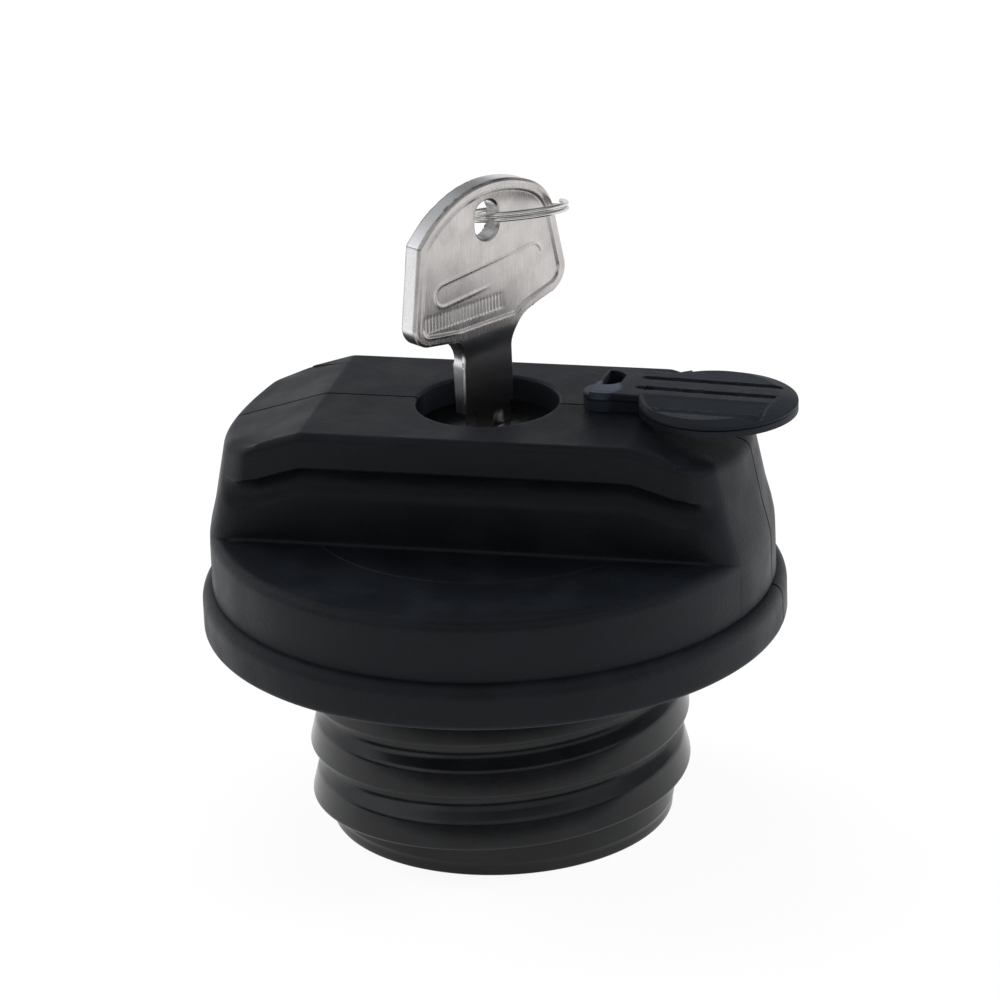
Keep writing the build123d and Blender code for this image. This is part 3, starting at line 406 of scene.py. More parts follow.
def parabola(start, handle, end, t):
    """(1 - t)^2 start + 2 t (1 - t) handle + t^2 end."""
    return (1 - t) ** 2 * start + 2 * t * (1 - t) * handle + t ** 2 * end


# ---- cover
def cover_profile(floor_line):
    """Closed section of the cover's round body: rim, ledge, band, finger floor, then back inside."""
    swell = np.linspace(-1, 1, 9)
    bead = np.stack([FLOOR_LINE_R - FLOOR_LINE_HALF * swell,
                     FLOOR_Z + floor_line * np.cos(swell * pi / 2)], -1)
    band_top = FLOOR_Z - BAND_ROUND
    inner_r, inner_z = FLANGE_R + FLANGE_GAP, FLANGE_TOP + FLANGE_PLAY
    ceiling_r = inner_r - CEILING_IN
    return path(
        run((POCKET_R, RETAINER_TOP), (POCKET_R, RIM_Z + POCKET_EDGE), (POCKET_R + POCKET_EDGE, RIM_Z),
            (RIM_R - RIM_EDGE, RIM_Z), step=1 * MM),
        quarter((RIM_R - RIM_EDGE, RIM_Z), (RIM_R, RIM_Z), (RIM_R, RIM_Z + RIM_EDGE), 7),
        run((RIM_R, RIM_Z + RIM_EDGE), (RIM_R, RIM_TOP), step=1 * MM),
        quarter((RIM_R, RIM_TOP), (RIM_R, LEDGE_Z), (BAND_R, LEDGE_Z), 12),
        run((BAND_R, LEDGE_Z), (BAND_R, band_top), step=1 * MM),
        quarter((BAND_R, band_top), (BAND_R, FLOOR_Z), (BAND_R - BAND_ROUND, FLOOR_Z), 10),
        run((BAND_R - BAND_ROUND, FLOOR_Z), (FLOOR_LINE_R + FLOOR_LINE_HALF, FLOOR_Z), step=1 * MM),
        bead,
        run((FLOOR_LINE_R - FLOOR_LINE_HALF, FLOOR_Z), (TUBE_R, FLOOR_Z), (TUBE_R, CEILING_Z),
            (ceiling_r, CEILING_Z), (ceiling_r, inner_z), (inner_r, inner_z), (inner_r, RETAINER_TOP),
            (POCKET_R - 0.1 * MM, RETAINER_TOP), step=2 * MM),
    )


def quarter_outline(half, radius, straight, sweep, arc_share):
    """Quarter of the grip's plan for every station at once: straight side, corner arc, end arc.

    The corner's middle lies CORNER_R inside both the side and the end's circle. Side points run to it along
    the wall, corner points turn about it, and end points turn about the axis."""
    middle_y = half - CORNER_R
    middle_x = np.sqrt((radius - CORNER_R) ** 2 - middle_y ** 2)
    join = np.arctan2(middle_y, middle_x)
    count = len(straight)
    side, corner, end = slice(0, count), slice(count, count + len(sweep)), slice(count + len(sweep), None)
    turn = pi / 2 + (join[:, corner] - pi / 2) * sweep
    x, y = np.empty(half.shape), np.empty(half.shape)
    x[:, side] = np.minimum(straight, middle_x[:, side])
    y[:, side] = half[:, side]
    x[:, corner] = middle_x[:, corner] + CORNER_R * np.cos(turn)
    y[:, corner] = middle_y[:, corner] + CORNER_R * np.sin(turn)
    x[:, end] = radius[:, end] * np.cos(join[:, end] * arc_share)
    y[:, end] = radius[:, end] * np.sin(join[:, end] * arc_share)
    return x, y


def full_ring(part, flip_x=1, flip_y=1):
    """Four mirrored quarters in order round each ring; a flip of -1 mirrors the value's sign."""
    forward, back = part[:, :-1], part[:, ::-1][:, :-1]
    return np.concatenate([forward, flip_y * back, flip_x * flip_y * forward, flip_x * back], axis=1)


def end_drop(x):
    """How far the grip's top lies below its flat part at x."""
    return ramp(np.abs(x) - GRIP_FLAT, END_SLOPE, 0.3 * MM)


def side_stations(foot):
    """Stations up the grip's side as (half width, height): foot, wall, hollow, lip and rounded top edge."""
    sweep_z, shoulder = LIP_Z - SWEEP_H, GRIP_TOP - LIP_ROUND
    under, edge = (LIP_HALF - LIP_UNDER, LIP_Z), (LIP_HALF, LIP_Z + 0.5 * MM)
    return path(
        quarter((WALL_HALF + foot, FLOOR_Z), (WALL_HALF, FLOOR_Z), (WALL_HALF, FLOOR_Z + foot), FOOT_POINTS),
        run((WALL_HALF, FLOOR_Z + foot), (WALL_HALF, sweep_z), step=0.6 * MM),
        arc((WALL_HALF, sweep_z), (HOLLOW_HALF, sweep_z + SWEEP_H * 0.6), under, 20),
        arc(under, (LIP_HALF - 0.1 * MM, LIP_Z + 0.14 * MM), edge, 6),
        run(edge, (LIP_HALF, shoulder), step=0.5 * MM),
        quarter((LIP_HALF, shoulder), (LIP_HALF, GRIP_TOP), (LIP_HALF - LIP_ROUND, GRIP_TOP), EDGE_POINTS),
    )


def leaning_radius(z):
    """Radius of the end wall at a height: upright on the band, then leaning in."""
    lean = ramp(z - LEAN_START, END_LEAN, 1.0 * MM)
    return BAND_R + SKIN - lean - LEAN_IN * smooth(LEAN_START, LEAN_START + 5 * MM, z)


def end_edge(azimuth):
    """Rounded top edge of the end wall at each azimuth, as (radius, height) points from wall to slope.

    Wall r = B - (z - b) tan(lean) and slope z = top - tan(slope) (r cos(azimuth) - flat) meet at the sharp
    edge; a parabola with that edge as its middle handle rounds it."""
    fall = tan(END_SLOPE) * np.cos(azimuth)
    lean = tan(END_LEAN)
    start = BAND_R + SKIN - LEAN_IN
    radius = (start - lean * (GRIP_TOP + tan(END_SLOPE) * GRIP_FLAT - LEAN_START)) / (1 - lean * fall)
    sharp = np.stack([radius, GRIP_TOP - fall * radius + tan(END_SLOPE) * GRIP_FLAT], -1)
    reach = END_ROUND * tan((pi / 2 - END_SLOPE - END_LEAN) / 2)
    low = sharp + reach * np.array([sin(END_LEAN), -cos(END_LEAN)])
    high = sharp + reach * np.stack([-np.cos(np.arctan(fall)), np.sin(np.arctan(fall))], -1)
    t = np.linspace(0, 1, EDGE_POINTS)[:, None, None]
    return parabola(low, sharp, high, t)


def grip_wall(foot):
    """Rings up the grip's walls and over its top edge, with the top's share of each column's slope."""
    stations = side_stations(foot)
    rows = len(stations)
    straight = np.concatenate([np.linspace(0, GRIP_FLAT - CREASE_HALF, 28)[:-1],
                               GRIP_FLAT + np.linspace(-CREASE_HALF, CREASE_HALF, 11)[:-1],
                               np.linspace(GRIP_FLAT + CREASE_HALF, SIDE_END, 16)])
    sweep, share = np.linspace(0, 1, 22)[1:], np.linspace(1, 0, 22)[1:]
    columns = len(straight) + len(sweep) + len(share)
    weight = np.concatenate([np.ones(len(straight)), 1 - smooth(0.0, 0.9, sweep), np.zeros(len(share))])

    plan_x, plan_y = quarter_outline(np.full((1, columns), LIP_HALF), np.full((1, columns), PLAN_R),
                                     straight, sweep, share)
    lip = 1 - smooth(LIP_FULL, LIP_GONE, plan_x)
    drop = end_drop(plan_x)
    height = np.broadcast_to(stations[:, 1:], (rows, columns))
    half = WALL_HALF + (stations[:, :1] - WALL_HALF) * lip
    edge_rows = slice(rows - EDGE_POINTS, rows)
    rounding = LIP_HALF - stations[edge_rows, :1]
    half[edge_rows] = WALL_HALF + (LIP_HALF - WALL_HALF) * lip - rounding

    sweep_z, shoulder = LIP_Z - SWEEP_H, GRIP_TOP - LIP_ROUND
    tilt = np.clip((height - FLOOR_Z - foot) / (sweep_z - FLOOR_Z - foot), 0, 1)
    side_z = height - tilt * drop
    edge = end_edge(np.arctan2(plan_y[0], plan_x[0]))
    low_z = edge[0, :, 1]
    end_z = FLOOR_Z + (height - FLOOR_Z) * (low_z - FLOOR_Z) / (shoulder - FLOOR_Z)
    end_z[:FOOT_POINTS] = np.linspace(LEDGE_Z + 0.2 * MM, FLOOR_Z + foot, FOOT_POINTS)[:, None]
    end_z[edge_rows] = edge[..., 1]
    z = weight * side_z + (1 - weight) * end_z
    radius = leaning_radius(end_z)
    radius[edge_rows] = edge[..., 0]
    x, y = quarter_outline(half, radius, straight, sweep, share)
    return np.stack([full_ring(x, flip_x=-1), full_ring(y, flip_y=-1), full_ring(z)], -1)


def hidden_rings(wall):
    """Rings inside the body that close the grip's foot: over the ceiling, then out to under the foot."""
    outer = wall[0].copy()
    outer[:, 2] = np.minimum(outer[:, 2], CEILING_Z + HIDDEN_IN)
    inside = outer.copy()
    inside[:, :2] *= 1 - 1.2 * HIDDEN_IN / np.linalg.norm(outer[:, :2], axis=1)[:, None]
    inside[:, 1] = np.clip(inside[:, 1], HIDDEN_IN - WALL_HALF, WALL_HALF - HIDDEN_IN)
    top = inside.copy()
    top[:, 2] = HIDDEN_Z
    return [top, inside, outer]


def top_rings(edge):
    """Rings over the grip's top, from its rounded edge to the lock's well. One ring of every column whose
    edge lies past the flat runs along the crease where the slope starts."""
    angle = np.arctan2(edge[:, 1], edge[:, 0])
    mouth = (WELL_R + WELL_ROUND) * np.stack([np.cos(angle), np.sin(angle)], -1)
    far, near = np.abs(edge[:, 0]), np.abs(mouth[:, 0])
    crease = np.clip((far - GRIP_FLAT) / np.maximum(far - near, 1e-9), 0.04, 1)[:, None]
    sunk = GRIP_TOP - end_drop(edge[:, 0]) - edge[:, 2]
    crowding, levelling = 1.8, 8
    outer = 1 - (1 - np.linspace(0, 1, 17)[1:]) ** crowding
    inner = np.linspace(0, 1, 30)[1:] ** crowding
    rings = []
    for t in [crease * share for share in outer] + [crease + (1 - crease) * share for share in inner]:
        flat = edge[:, :2] + (mouth - edge[:, :2]) * t
        drop = end_drop(flat[:, 0]) + sunk * (1 - t[:, 0]) ** levelling
        rings.append(np.column_stack([flat, GRIP_TOP - drop]))
    return rings, angle


def grip_rings(foot):
    """Rings of the grip: from its foot up the walls, over the lip, in over the top and down the well."""
    wall = grip_wall(foot)
    top, angle = top_rings(wall[-1])
    mouth = GRIP_TOP - WELL_ROUND
    well = path(
        quarter((WELL_R + WELL_ROUND, GRIP_TOP), (WELL_R, GRIP_TOP), (WELL_R, mouth), 6),
        run((WELL_R, mouth), (WELL_R, HOUSING_LEDGE), (TUBE_R, HOUSING_LEDGE), (TUBE_R, HIDDEN_Z),
            step=2 * MM))
    return np.concatenate([hidden_rings(wall), wall, top, around(well[1:], angle)])


# ---- neck
def rounded_corners(corners, reach, count):
    """Line through the corners, with a parabola at each inner one that starts and ends at its reach."""
    corners = np.array(corners, float)
    line = [corners[:1]]
    t = np.linspace(0, 1, count)[:, None]
    for before, corner, after, size in zip(corners[:-2], corners[1:-1], corners[2:], reach):
        start = corner + (before - corner) * size / np.linalg.norm(before - corner)
        finish = corner + (after - corner) * size / np.linalg.norm(after - corner)
        line.append(parabola(start, corner, finish, t))
    return path(*line, corners[-1:])


def thread_section():
    """The thread over one pitch as (rise, stand): level underside, leaning crest, sloping flank, root."""
    corners = [(0, 0), (0, CREST_H), (CREST_END, CREST_LOW), (FLANK_END, 0), (THREAD_PITCH, 0)]
    return rounded_corners(corners, [0.62 * MM, 0.40 * MM, 0.90 * MM], 6)


def neck_wall(per_turn):
    """Ribbon one pitch high that winds up the neck with the thread, cut level at both ends."""
    first = int(np.floor(-THREAD_Z / THREAD_PITCH)) - 1
    last = int(np.ceil((FLANGE_Z - THREAD_Z) / THREAD_PITCH))
    turns = np.arange(first * per_turn, last * per_turn + 1) / per_turn
    rise, stand = thread_section().T
    fade = smooth(0, 0.05, turns) * (1 - smooth(THREAD_TURNS - 0.05, THREAD_TURNS, turns))
    z = THREAD_Z + THREAD_PITCH * turns[:, None] + rise
    radius = NECK_R + stand * fade[:, None]
    low, high = PILOT_H, FLANGE_Z
    radius = np.where((z < low) | (z > high), NECK_R, radius)
    z = np.clip(z, low, high)
    angle = THREAD_AZ + 2 * pi * turns[:, None]
    points = np.stack([radius * np.cos(angle), radius * np.sin(angle), z], -1)
    vertices, quads = grid(points)
    heights = vertices[quads][..., 2]
    cut_away = (heights.max(1) <= low + 1e-9) | (heights.min(1) >= high - 1e-9)
    return vertices, quads[~cut_away]


def neck_rest(per_turn):
    """The rest of the plug's section: from the neck's foot round the inside and out under the flange."""
    collar_z = NECK_FLOOR_TOP + COLLAR_H
    profile = path(
        run((NECK_R, PILOT_H), (PILOT_R + PILOT_EDGE, PILOT_H), (PILOT_R, PILOT_H - PILOT_EDGE),
            (PILOT_R, FOOT_ROUND), step=1 * MM),
        quarter((PILOT_R, FOOT_ROUND), (PILOT_R, 0), (PILOT_R - FOOT_ROUND, 0), 5),
        run((PILOT_R - FOOT_ROUND, 0), (LOW_BORE_R, 0), (LOW_BORE_R, NECK_FLOOR_Z),
            (GRILLE_SEAT_R, NECK_FLOOR_Z), (GRILLE_SEAT_R, GRILLE_SEAT_Z), (PORT_R, GRILLE_SEAT_Z),
            (PORT_R, NECK_FLOOR_TOP), (COLLAR_IN, NECK_FLOOR_TOP), (COLLAR_IN, collar_z),
            (COLLAR_OUT, collar_z), (COLLAR_OUT, NECK_FLOOR_TOP), (LOW_BORE_R, NECK_FLOOR_TOP),
            (LOW_BORE_R, CAGE_LEDGE), (BORE_R, CAGE_LEDGE), (BORE_R, FLANGE_TOP), (FLANGE_R, FLANGE_TOP),
            (FLANGE_R, FLANGE_Z), (NECK_R, FLANGE_Z), step=2 * MM))
    return grid(around(profile, THREAD_AZ + whole_turn(per_turn)), loop_v=True)


# ---- key
def bow_edge(corners):
    """One edge of the key above the lock, from the shoulder to the top: (half width, height)."""
    p = {name: np.array(value) * MM + (0, GRIP_TOP) for name, value in corners.items()}
    step = 0.14 * MM
    return path(
        run(p["foot"], p["neck"], step=0.4 * MM), arc(p["neck"], p["flare"], p["wing"], 22),
        run(p["wing"], p["low"], step=step), arc(p["low"], p["turn"], p["wide"], 24),
        run(p["wide"], p["corner"], step=step), arc(p["corner"], p["brow"], p["crown"], 34),
        arc(p["crown"], p["dome"], p["top"], 44))


def distance_to(line, x, z):
    """Distance from each (x, z) to the nearest point of a line of points, taken in blocks."""
    result = np.empty(x.shape)
    for i in range(len(x)):
        result[i] = np.sqrt(((x[i][:, None] - line[:, 0]) ** 2 + (z[i][:, None] - line[:, 1]) ** 2).min(1))
    return result


def capsule_distance(x, z, start, end, radius):
    """Distance to the outline of a bar with round ends."""
    start, end = np.array(start), np.array(end)
    along = end - start
    t = np.clip(((x - start[0]) * along[0] + (z - start[1]) * along[1]) / (along @ along), 0, 1)
    return np.abs(np.hypot(x - start[0] - t * along[0], z - start[1] - t * along[1]) - radius)


def ridge(off, width):
    """A smooth ridge along a line: exp(-(off / width)^2)."""
    return np.exp(-(off / width) ** 2)


def bow_relief(x, z, outline, sizes, front):
    """Half thickness of the key at each point: bevelled edge, raised border round a sunk panel, a soft edge
    round the hole and, on the front, a blank label's outline and fine upright ribs."""
    across, above = x / MM, (z - GRIP_TOP) / MM
    inset = distance_to(outline, x, z)
    half = BLADE_T / 2 + (BOW_T - BLADE_T) / 2 * smooth(7.2, 10.6, above)
    half = half - sizes.key_bevel * (1 - smooth(0, sizes.key_bevel * 1.3, inset)) ** 2
    inner = inset / MM - BORDER_INSET
    bow = smooth(PANEL_LOW - 0.3, PANEL_LOW + 0.3, above)
    panel = smooth(0, 0.5, inner) * bow
    foot_line = ridge(above - PANEL_LOW, 0.16) * smooth(0, 0.3, inner) * (1 - smooth(2, 5, across))
    border = np.maximum(ridge(inner, 0.18) * bow, 0.5 * foot_line)
    half = half - sizes.panel_depth * panel + BORDER_H * border
    hole = capsule_distance(x, z, (0, KEY_HOLE_Z - HOLE_HALF), (0, KEY_HOLE_Z + HOLE_HALF), HOLE_R)
    half = half - HOLE_SINK * (1 - smooth(0, HOLE_SOFT, hole)) ** 2
    if not front:
        return half
    label = capsule_distance(across, above, LABEL_START, LABEL_END, LABEL_HALF)
    fall = (LABEL_END[1] - LABEL_START[1]) / (LABEL_END[0] - LABEL_START[0])
    under = above < LABEL_START[1] + fall * (across - LABEL_START[0])
    strength = np.where(under, 1 - smooth(-3, 1, across), 1)
    half = half + LABEL_H * strength * ridge(label, 0.17)
    ribs = (smooth(0, 0.3, across - RIB_LEFT) * smooth(0, 0.6, RIB_RIGHT - across)
            * smooth(0, 0.3, above - RIB_LOW) * smooth(0, 0.3, RIB_HIGH - above) * smooth(0.1, 0.5, inner))
    return half - sizes.rib_height * ribs * (0.5 + 0.5 * np.cos(2 * pi * across / RIB_PITCH))


def key_points(sizes):
    """Closed sections of the key at each height, from the blade's tip to the bow's top."""
    right_edge, left_edge = bow_edge(BOW_RIGHT), bow_edge(BOW_LEFT)
    outline = np.vstack([right_edge, left_edge * (-1, 1)])
    bow_z = np.union1d(right_edge[:, 1], GRIP_TOP + np.linspace(10.4, 12.4, 14) * MM)
    bow_z = np.append(bow_z[bow_z < bow_z[-1] - TOP_STEP], bow_z[-1])
    blade_z = np.linspace(KEY_TIP, BLADE_TOP, 46)
    blade_right = BLADE_HALF - np.clip(TIP_LENGTH - (blade_z - KEY_TIP), 0, None)
    cuts = [CUT_TOP - CUT_PITCH * i for i in range(CUT_COUNT)]
    blade_left = blade_right - sum(np.clip(CUT_DEPTH - np.abs(blade_z - cut), 0, None) for cut in cuts)
    rows_z = np.concatenate([blade_z, bow_z])
    right = np.concatenate([blade_right, np.interp(bow_z, right_edge[:, 1], right_edge[:, 0])])
    left = np.concatenate([blade_left, np.interp(bow_z, left_edge[:, 1], left_edge[:, 0])])

    sections = []
    for count, front in ((236, True), (60, False)):
        u = np.linspace(0, 1, count)
        x = -left[:, None] + (left + right)[:, None] * u
        z = np.broadcast_to(rows_z[:, None], x.shape)
        half = bow_relief(x, z, outline, sizes, front)
        side = -1 if front else 1
        milled = GROOVE_DEPTH * np.exp(-((x + side * GROOVE_X) / GROOVE_HALF) ** 4)
        blade = BLADE_T / 2 - milled * smooth(0, 1 * MM, BLADE_TOP - 1 * MM - z)
        half = np.where(z < BLADE_TOP - 1e-9, blade, half)
        sections.append(np.stack([x, side * half, z], -1))
    front_face, back_face = sections
    share_across = np.linspace(0, 1, 6)[1:-1, None]
    right_side = front_face[:, -1:] + (back_face[:, -1:] - front_face[:, -1:]) * share_across
    left_side = back_face[:, :1] + (front_face[:, :1] - back_face[:, :1]) * share_across
    return np.concatenate([front_face, right_side, back_face[:, ::-1], left_side], axis=1)


def key_hole():
    """Outline of the key's hole, an upright bar with round ends, in the key's plane."""
    angle = whole_turn(48)
    x, z = HOLE_R * np.cos(angle), HOLE_R * np.sin(angle) + HOLE_HALF * np.sign(np.sin(angle))
    return np.stack([x, np.zeros(48), z + KEY_HOLE_Z], -1)


# ---- ring
def tube(line, radius, sides):
    """Round wire along a line of points, with a small chamfer at each end."""
    tangent = np.gradient(line, axis=0)
    tangent /= np.linalg.norm(tangent, axis=1)[:, None]
    across = np.cross(tangent, (0, 0, 1))
    across /= np.linalg.norm(across, axis=1)[:, None]
    up = np.cross(across, tangent)
    angle = whole_turn(sides)[:, None]
    points = line[:, None] + radius * (across[:, None] * np.cos(angle) + up[:, None] * np.sin(angle))
    narrow, reach = 0.8, radius * 0.25
    start = line[0] + (points[:1] - line[0]) * narrow - tangent[0] * reach
    end = line[-1] + (points[-1:] - line[-1]) * narrow + tangent[-1] * reach
    body = np.concatenate([start, points, end])
    return [grid(body, loop_v=True), fan(body[0]), fan(body[-1])]


def ring_line():
    """Helix of nearly two turns, tilted and carried out along the key's plane to pass through its hole."""
    turns = np.linspace(0, RING_TURNS, 240)
    turn, rise = 2 * pi * turns, RING_PITCH * (turns - RING_TURNS / 2)
    line = turned(np.stack([RING_R * np.cos(turn), RING_R * np.sin(turn), rise], -1), RING_GAP_AZ)
    tilt = np.array(Matrix.Rotation(-RING_TILT, 3, "X"))
    dip = np.array(Matrix.Rotation(RING_DIP, 3, "Y"))
    return turned((line @ tilt.T + (RING_R, 0, 0)) @ dip.T + (0, 0, KEY_HOLE_Z), KEY_AZ)


# ---- flap
def circle_half(x, radius, centre=0.0):
    """Half the width of a circle at x, and 0 beyond it."""
    return np.sqrt(np.clip(radius ** 2 - (x - centre) ** 2, 0, None))


def flap_edges():
    """The flap's outline as stations along its arm: (along, front edge, back edge), pivot at the origin."""
    x = np.unique(np.concatenate([
        EYE_R * np.cos(np.linspace(pi, 0, 60)[:38]),
        ARM_START + ARM_CORNER * (1 - np.cos(np.linspace(0, pi / 2, 14))),
        np.linspace(2.0, 5.5, 14) * MM, np.linspace(5.55, 8.55, 14) * MM,
        FLAP_CENTRE + FLAP_R * np.cos(np.linspace(pi * 0.72, 0, 90))]).round(9))
    x = np.insert(x, np.searchsorted(x, ARM_START), ARM_START - 1e-7)
    disc, eye = circle_half(x, FLAP_R, FLAP_CENTRE), circle_half(x, EYE_R)
    along = x - ARM_START
    arm = (along >= 0) & (x <= ARM_END)
    front = np.maximum.reduce([disc, np.where(x < 1.6 * MM, eye, 0), np.where(arm & (x > 0), ARM_FRONT, 0)])
    rounding = ARM_CORNER - circle_half(np.clip(ARM_CORNER - along, 0, None), ARM_CORNER)
    back = np.maximum.reduce([disc, eye, np.where(arm, ARM_BACK - along * ARM_TAPER - rounding, 0)])
    return x, -front, back


def crown_share(x, y):
    """Share of the disc's crown at a point, 0 at its edge and 1 on its flat top.

    The crown is a slanted cone: at share s its outline is a circle of radius R - s in, moved s shift towards
    the pivot. s is the smaller root of |point + s shift| = R - s in."""
    dx = x - FLAP_CENTRE
    a = CROWN_IN ** 2 - CROWN_SHIFT ** 2
    b = 2 * (FLAP_R * CROWN_IN + dx * CROWN_SHIFT)
    c = FLAP_R ** 2 - dx ** 2 - y ** 2
    return np.clip((b - np.sqrt(np.clip(b ** 2 - 4 * a * c, 0, None))) / (2 * a), 0, 1)


def flap_top(x, y, inset):
    """Height of the flap's upper face: crown, two narrow slots, flutes that end in one line, soft edge."""
    on_arm = (x < ARM_END) & (y > -ARM_FRONT)
    share = np.where(on_arm, 1.0, crown_share(x, y))
    z = FLAP_EDGE_Z + (FLAP_TOP - FLAP_EDGE_Z) * share
    past = np.clip(np.maximum(x / MM - SLOT_ENDS[1], SLOT_ENDS[0] - x / MM), 0, None)
    for centre in SLOTS:
        across = np.hypot(np.abs(y / MM - centre), past)
        z = z - SLOT_DEPTH * (1 - smooth(0.40, 0.56, across))
    flute = np.interp(y / MM, *zip(*FLUTES))
    inside = (1 - smooth(SLOT_ENDS[1], SLOT_ENDS[1] + 0.5, x / MM)) * smooth(0.5, 1.1, inset / MM)
    z = z - flute * MM * inside - EYE_STEP * (x < ARM_START)
    near_edge = 1 - np.clip(inset / SOFT_EDGE, 0, 1)
    return z - SOFT_DROP * (1 - np.sqrt(1 - near_edge ** 2))


def flap_points():
    """Closed cross-sections of the flap along its arm: upper face, thin plate, groove, skirt, lower face."""
    x, front, back = flap_edges()
    columns = np.linspace(0, 1, 150)
    spread = 0.65 * columns + 0.35 * (0.5 - 0.5 * np.cos(pi * columns))
    y = front[:, None] + (back - front)[:, None] * spread
    xs = np.broadcast_to(x[:, None], y.shape)
    outline = np.vstack([np.stack([x, front], -1), np.stack([x, back], -1)])
    upper = np.stack([xs, y, flap_top(xs, y, distance_to(outline, xs, y))], -1)
    middle, half = (front + back) / 2, (back - front) / 2
    plate, skirt = np.full(len(x), PLATE_Z), np.full(len(x), SKIRT_Z)
    foot = np.where(x < PAD_END, GRIP_TOP + 0.1 * MM, FLAP_LOW)
    levels = (plate, 0.0), (plate, GROOVE_IN), (skirt, GROOVE_IN), (skirt, SKIRT_IN), (foot, SKIRT_IN)
    right, left = [], []
    for height, step_in in levels:
        inner = np.maximum(half - step_in, half / 2)
        right.append(np.stack([x, middle + inner, height], -1))
        left.insert(0, np.stack([x, middle - inner, height], -1))
    return np.concatenate([upper, np.stack(right, 1), np.stack(left, 1)], axis=1)


def window_outline(height):
    """D-shaped window in the arm at a height: an oval cut straight on the side of the disc."""
    angle = np.linspace(radians(-99), radians(99), 30)
    x, y = np.minimum(2.5 * np.cos(angle) - 0.3, 1.9) * MM, (2.7 * np.sin(angle) + 3.7) * MM
    return turned(np.stack([x, y, np.full(30, height)], -1), FLAP_AZ, PIVOT)


# ---- finishes
class Nodes:
    """A node tree with short calls for the nodes that the finishes and the studio share."""

    def __init__(self, tree):
        self.tree = tree
        tree.nodes.clear()

    def node(self, kind, **settings):
        made = self.tree.nodes.new(kind)
        for key, value in settings.items():
            setattr(made, key, value)
        return made

    def link(self, source, target):
        self.tree.links.new(source, target)

    def feed(self, target, value):
        if isinstance(value, bpy.types.NodeSocket):
            self.link(value, target)
        else:
            target.default_value = value

    def math(self, operation, a, b=0.0):
        made = self.node("ShaderNodeMath", operation=operation)
        for target, value in zip(made.inputs, (a, b)):
            self.feed(target, value)
        return made.outputs[0]

    def product(self, first, *others):
        for other in others:
            first = self.math("MULTIPLY", first, other)
        return first

    def most(self, first, *others):
        for other in others:
            first = self.math("MAXIMUM", first, other)
        return first

    def span(self, value, low, high, out_low=0.0, out_high=1.0):
        made = self.node("ShaderNodeMapRange", interpolation_type="SMOOTHSTEP")
        for target, item in zip(made.inputs, (value, low, high, out_low, out_high)):
            self.feed(target, item)
        return made.outputs[0]

    def blend(self, factor, first, second, output):
        made = self.node("ShaderNodeMixShader")
        for target, source in zip(made.inputs, (factor, first, second)):
            self.link(source, target)
        self.link(made.outputs[0], output.inputs["Surface"])


class Finish(Nodes):
    """A material whose patterns read the piece's own coordinates."""

    def __init__(self, name, base, roughness, metallic=0.0, **sockets):
        self.material = bpy.data.materials.new(name)
        self.material.use_nodes = True
        super().__init__(self.material.node_tree)
        self.shader = self.node("ShaderNodeBsdfPrincipled")
        self.output = self.node("ShaderNodeOutputMaterial")
        self.link(self.shader.outputs["BSDF"], self.output.inputs["Surface"])
        sockets.update(Base_Color=(*base, 1), Roughness=roughness, Metallic=metallic)
        for socket, value in sockets.items():
            self.shader.inputs[socket.replace("_", " ")].default_value = value
        self.material.diffuse_color = (*base, 1)
        self.place = self.node("ShaderNodeTexCoord").outputs["Object"]
        axes = self.node("ShaderNodeSeparateXYZ")
        self.link(self.place, axes.inputs[0])
        self.x, self.y, self.z = axes.outputs

    def noise(self, size, detail=2.0, stretch=(1, 1, 1)):
        mapping = self.node("ShaderNodeMapping")
        mapping.inputs["Scale"].default_value = stretch
        self.link(self.place, mapping.inputs["Vector"])
        texture = self.node("ShaderNodeTexNoise")
        texture.inputs["Scale"].default_value = 1 / size
        texture.inputs["Detail"].default_value = detail
        self.link(mapping.outputs["Vector"], texture.inputs["Vector"])
        return texture.outputs["Fac"]

    def cells(self, size):
        texture = self.node("ShaderNodeTexVoronoi")
        texture.inputs["Scale"].default_value = 1 / size
        self.link(self.place, texture.inputs["Vector"])
        return texture.outputs["Distance"]

    def mix(self, factor, a, b):
        made = self.node("ShaderNodeMix", data_type="RGBA")
        self.feed(made.inputs[0], factor)
        for target, value in zip((made.inputs[6], made.inputs[7]), (a, b)):
            self.feed(target, (*value, 1) if isinstance(value, (tuple, list)) else value)
        return made.outputs[2]

    def bump(self, height, depth, strength=1.0, under=None):
        made = self.node("ShaderNodeBump")
        made.inputs["Distance"].default_value = depth
        made.inputs["Strength"].default_value = strength
        self.link(height, made.inputs["Height"])
        if under is not None:
            self.link(under, made.inputs["Normal"])
        return made.outputs["Normal"]

    def done(self, tint, rough, normal):
        self.link(tint, self.shader.inputs["Base Color"])
        self.link(rough, self.shader.inputs["Roughness"])
        self.link(normal, self.shader.inputs["Normal"])
        return self.material


def scaled(base, factor):
    """A colour made lighter or darker."""
    return tuple(min(1.0, channel * factor) for channel in base)


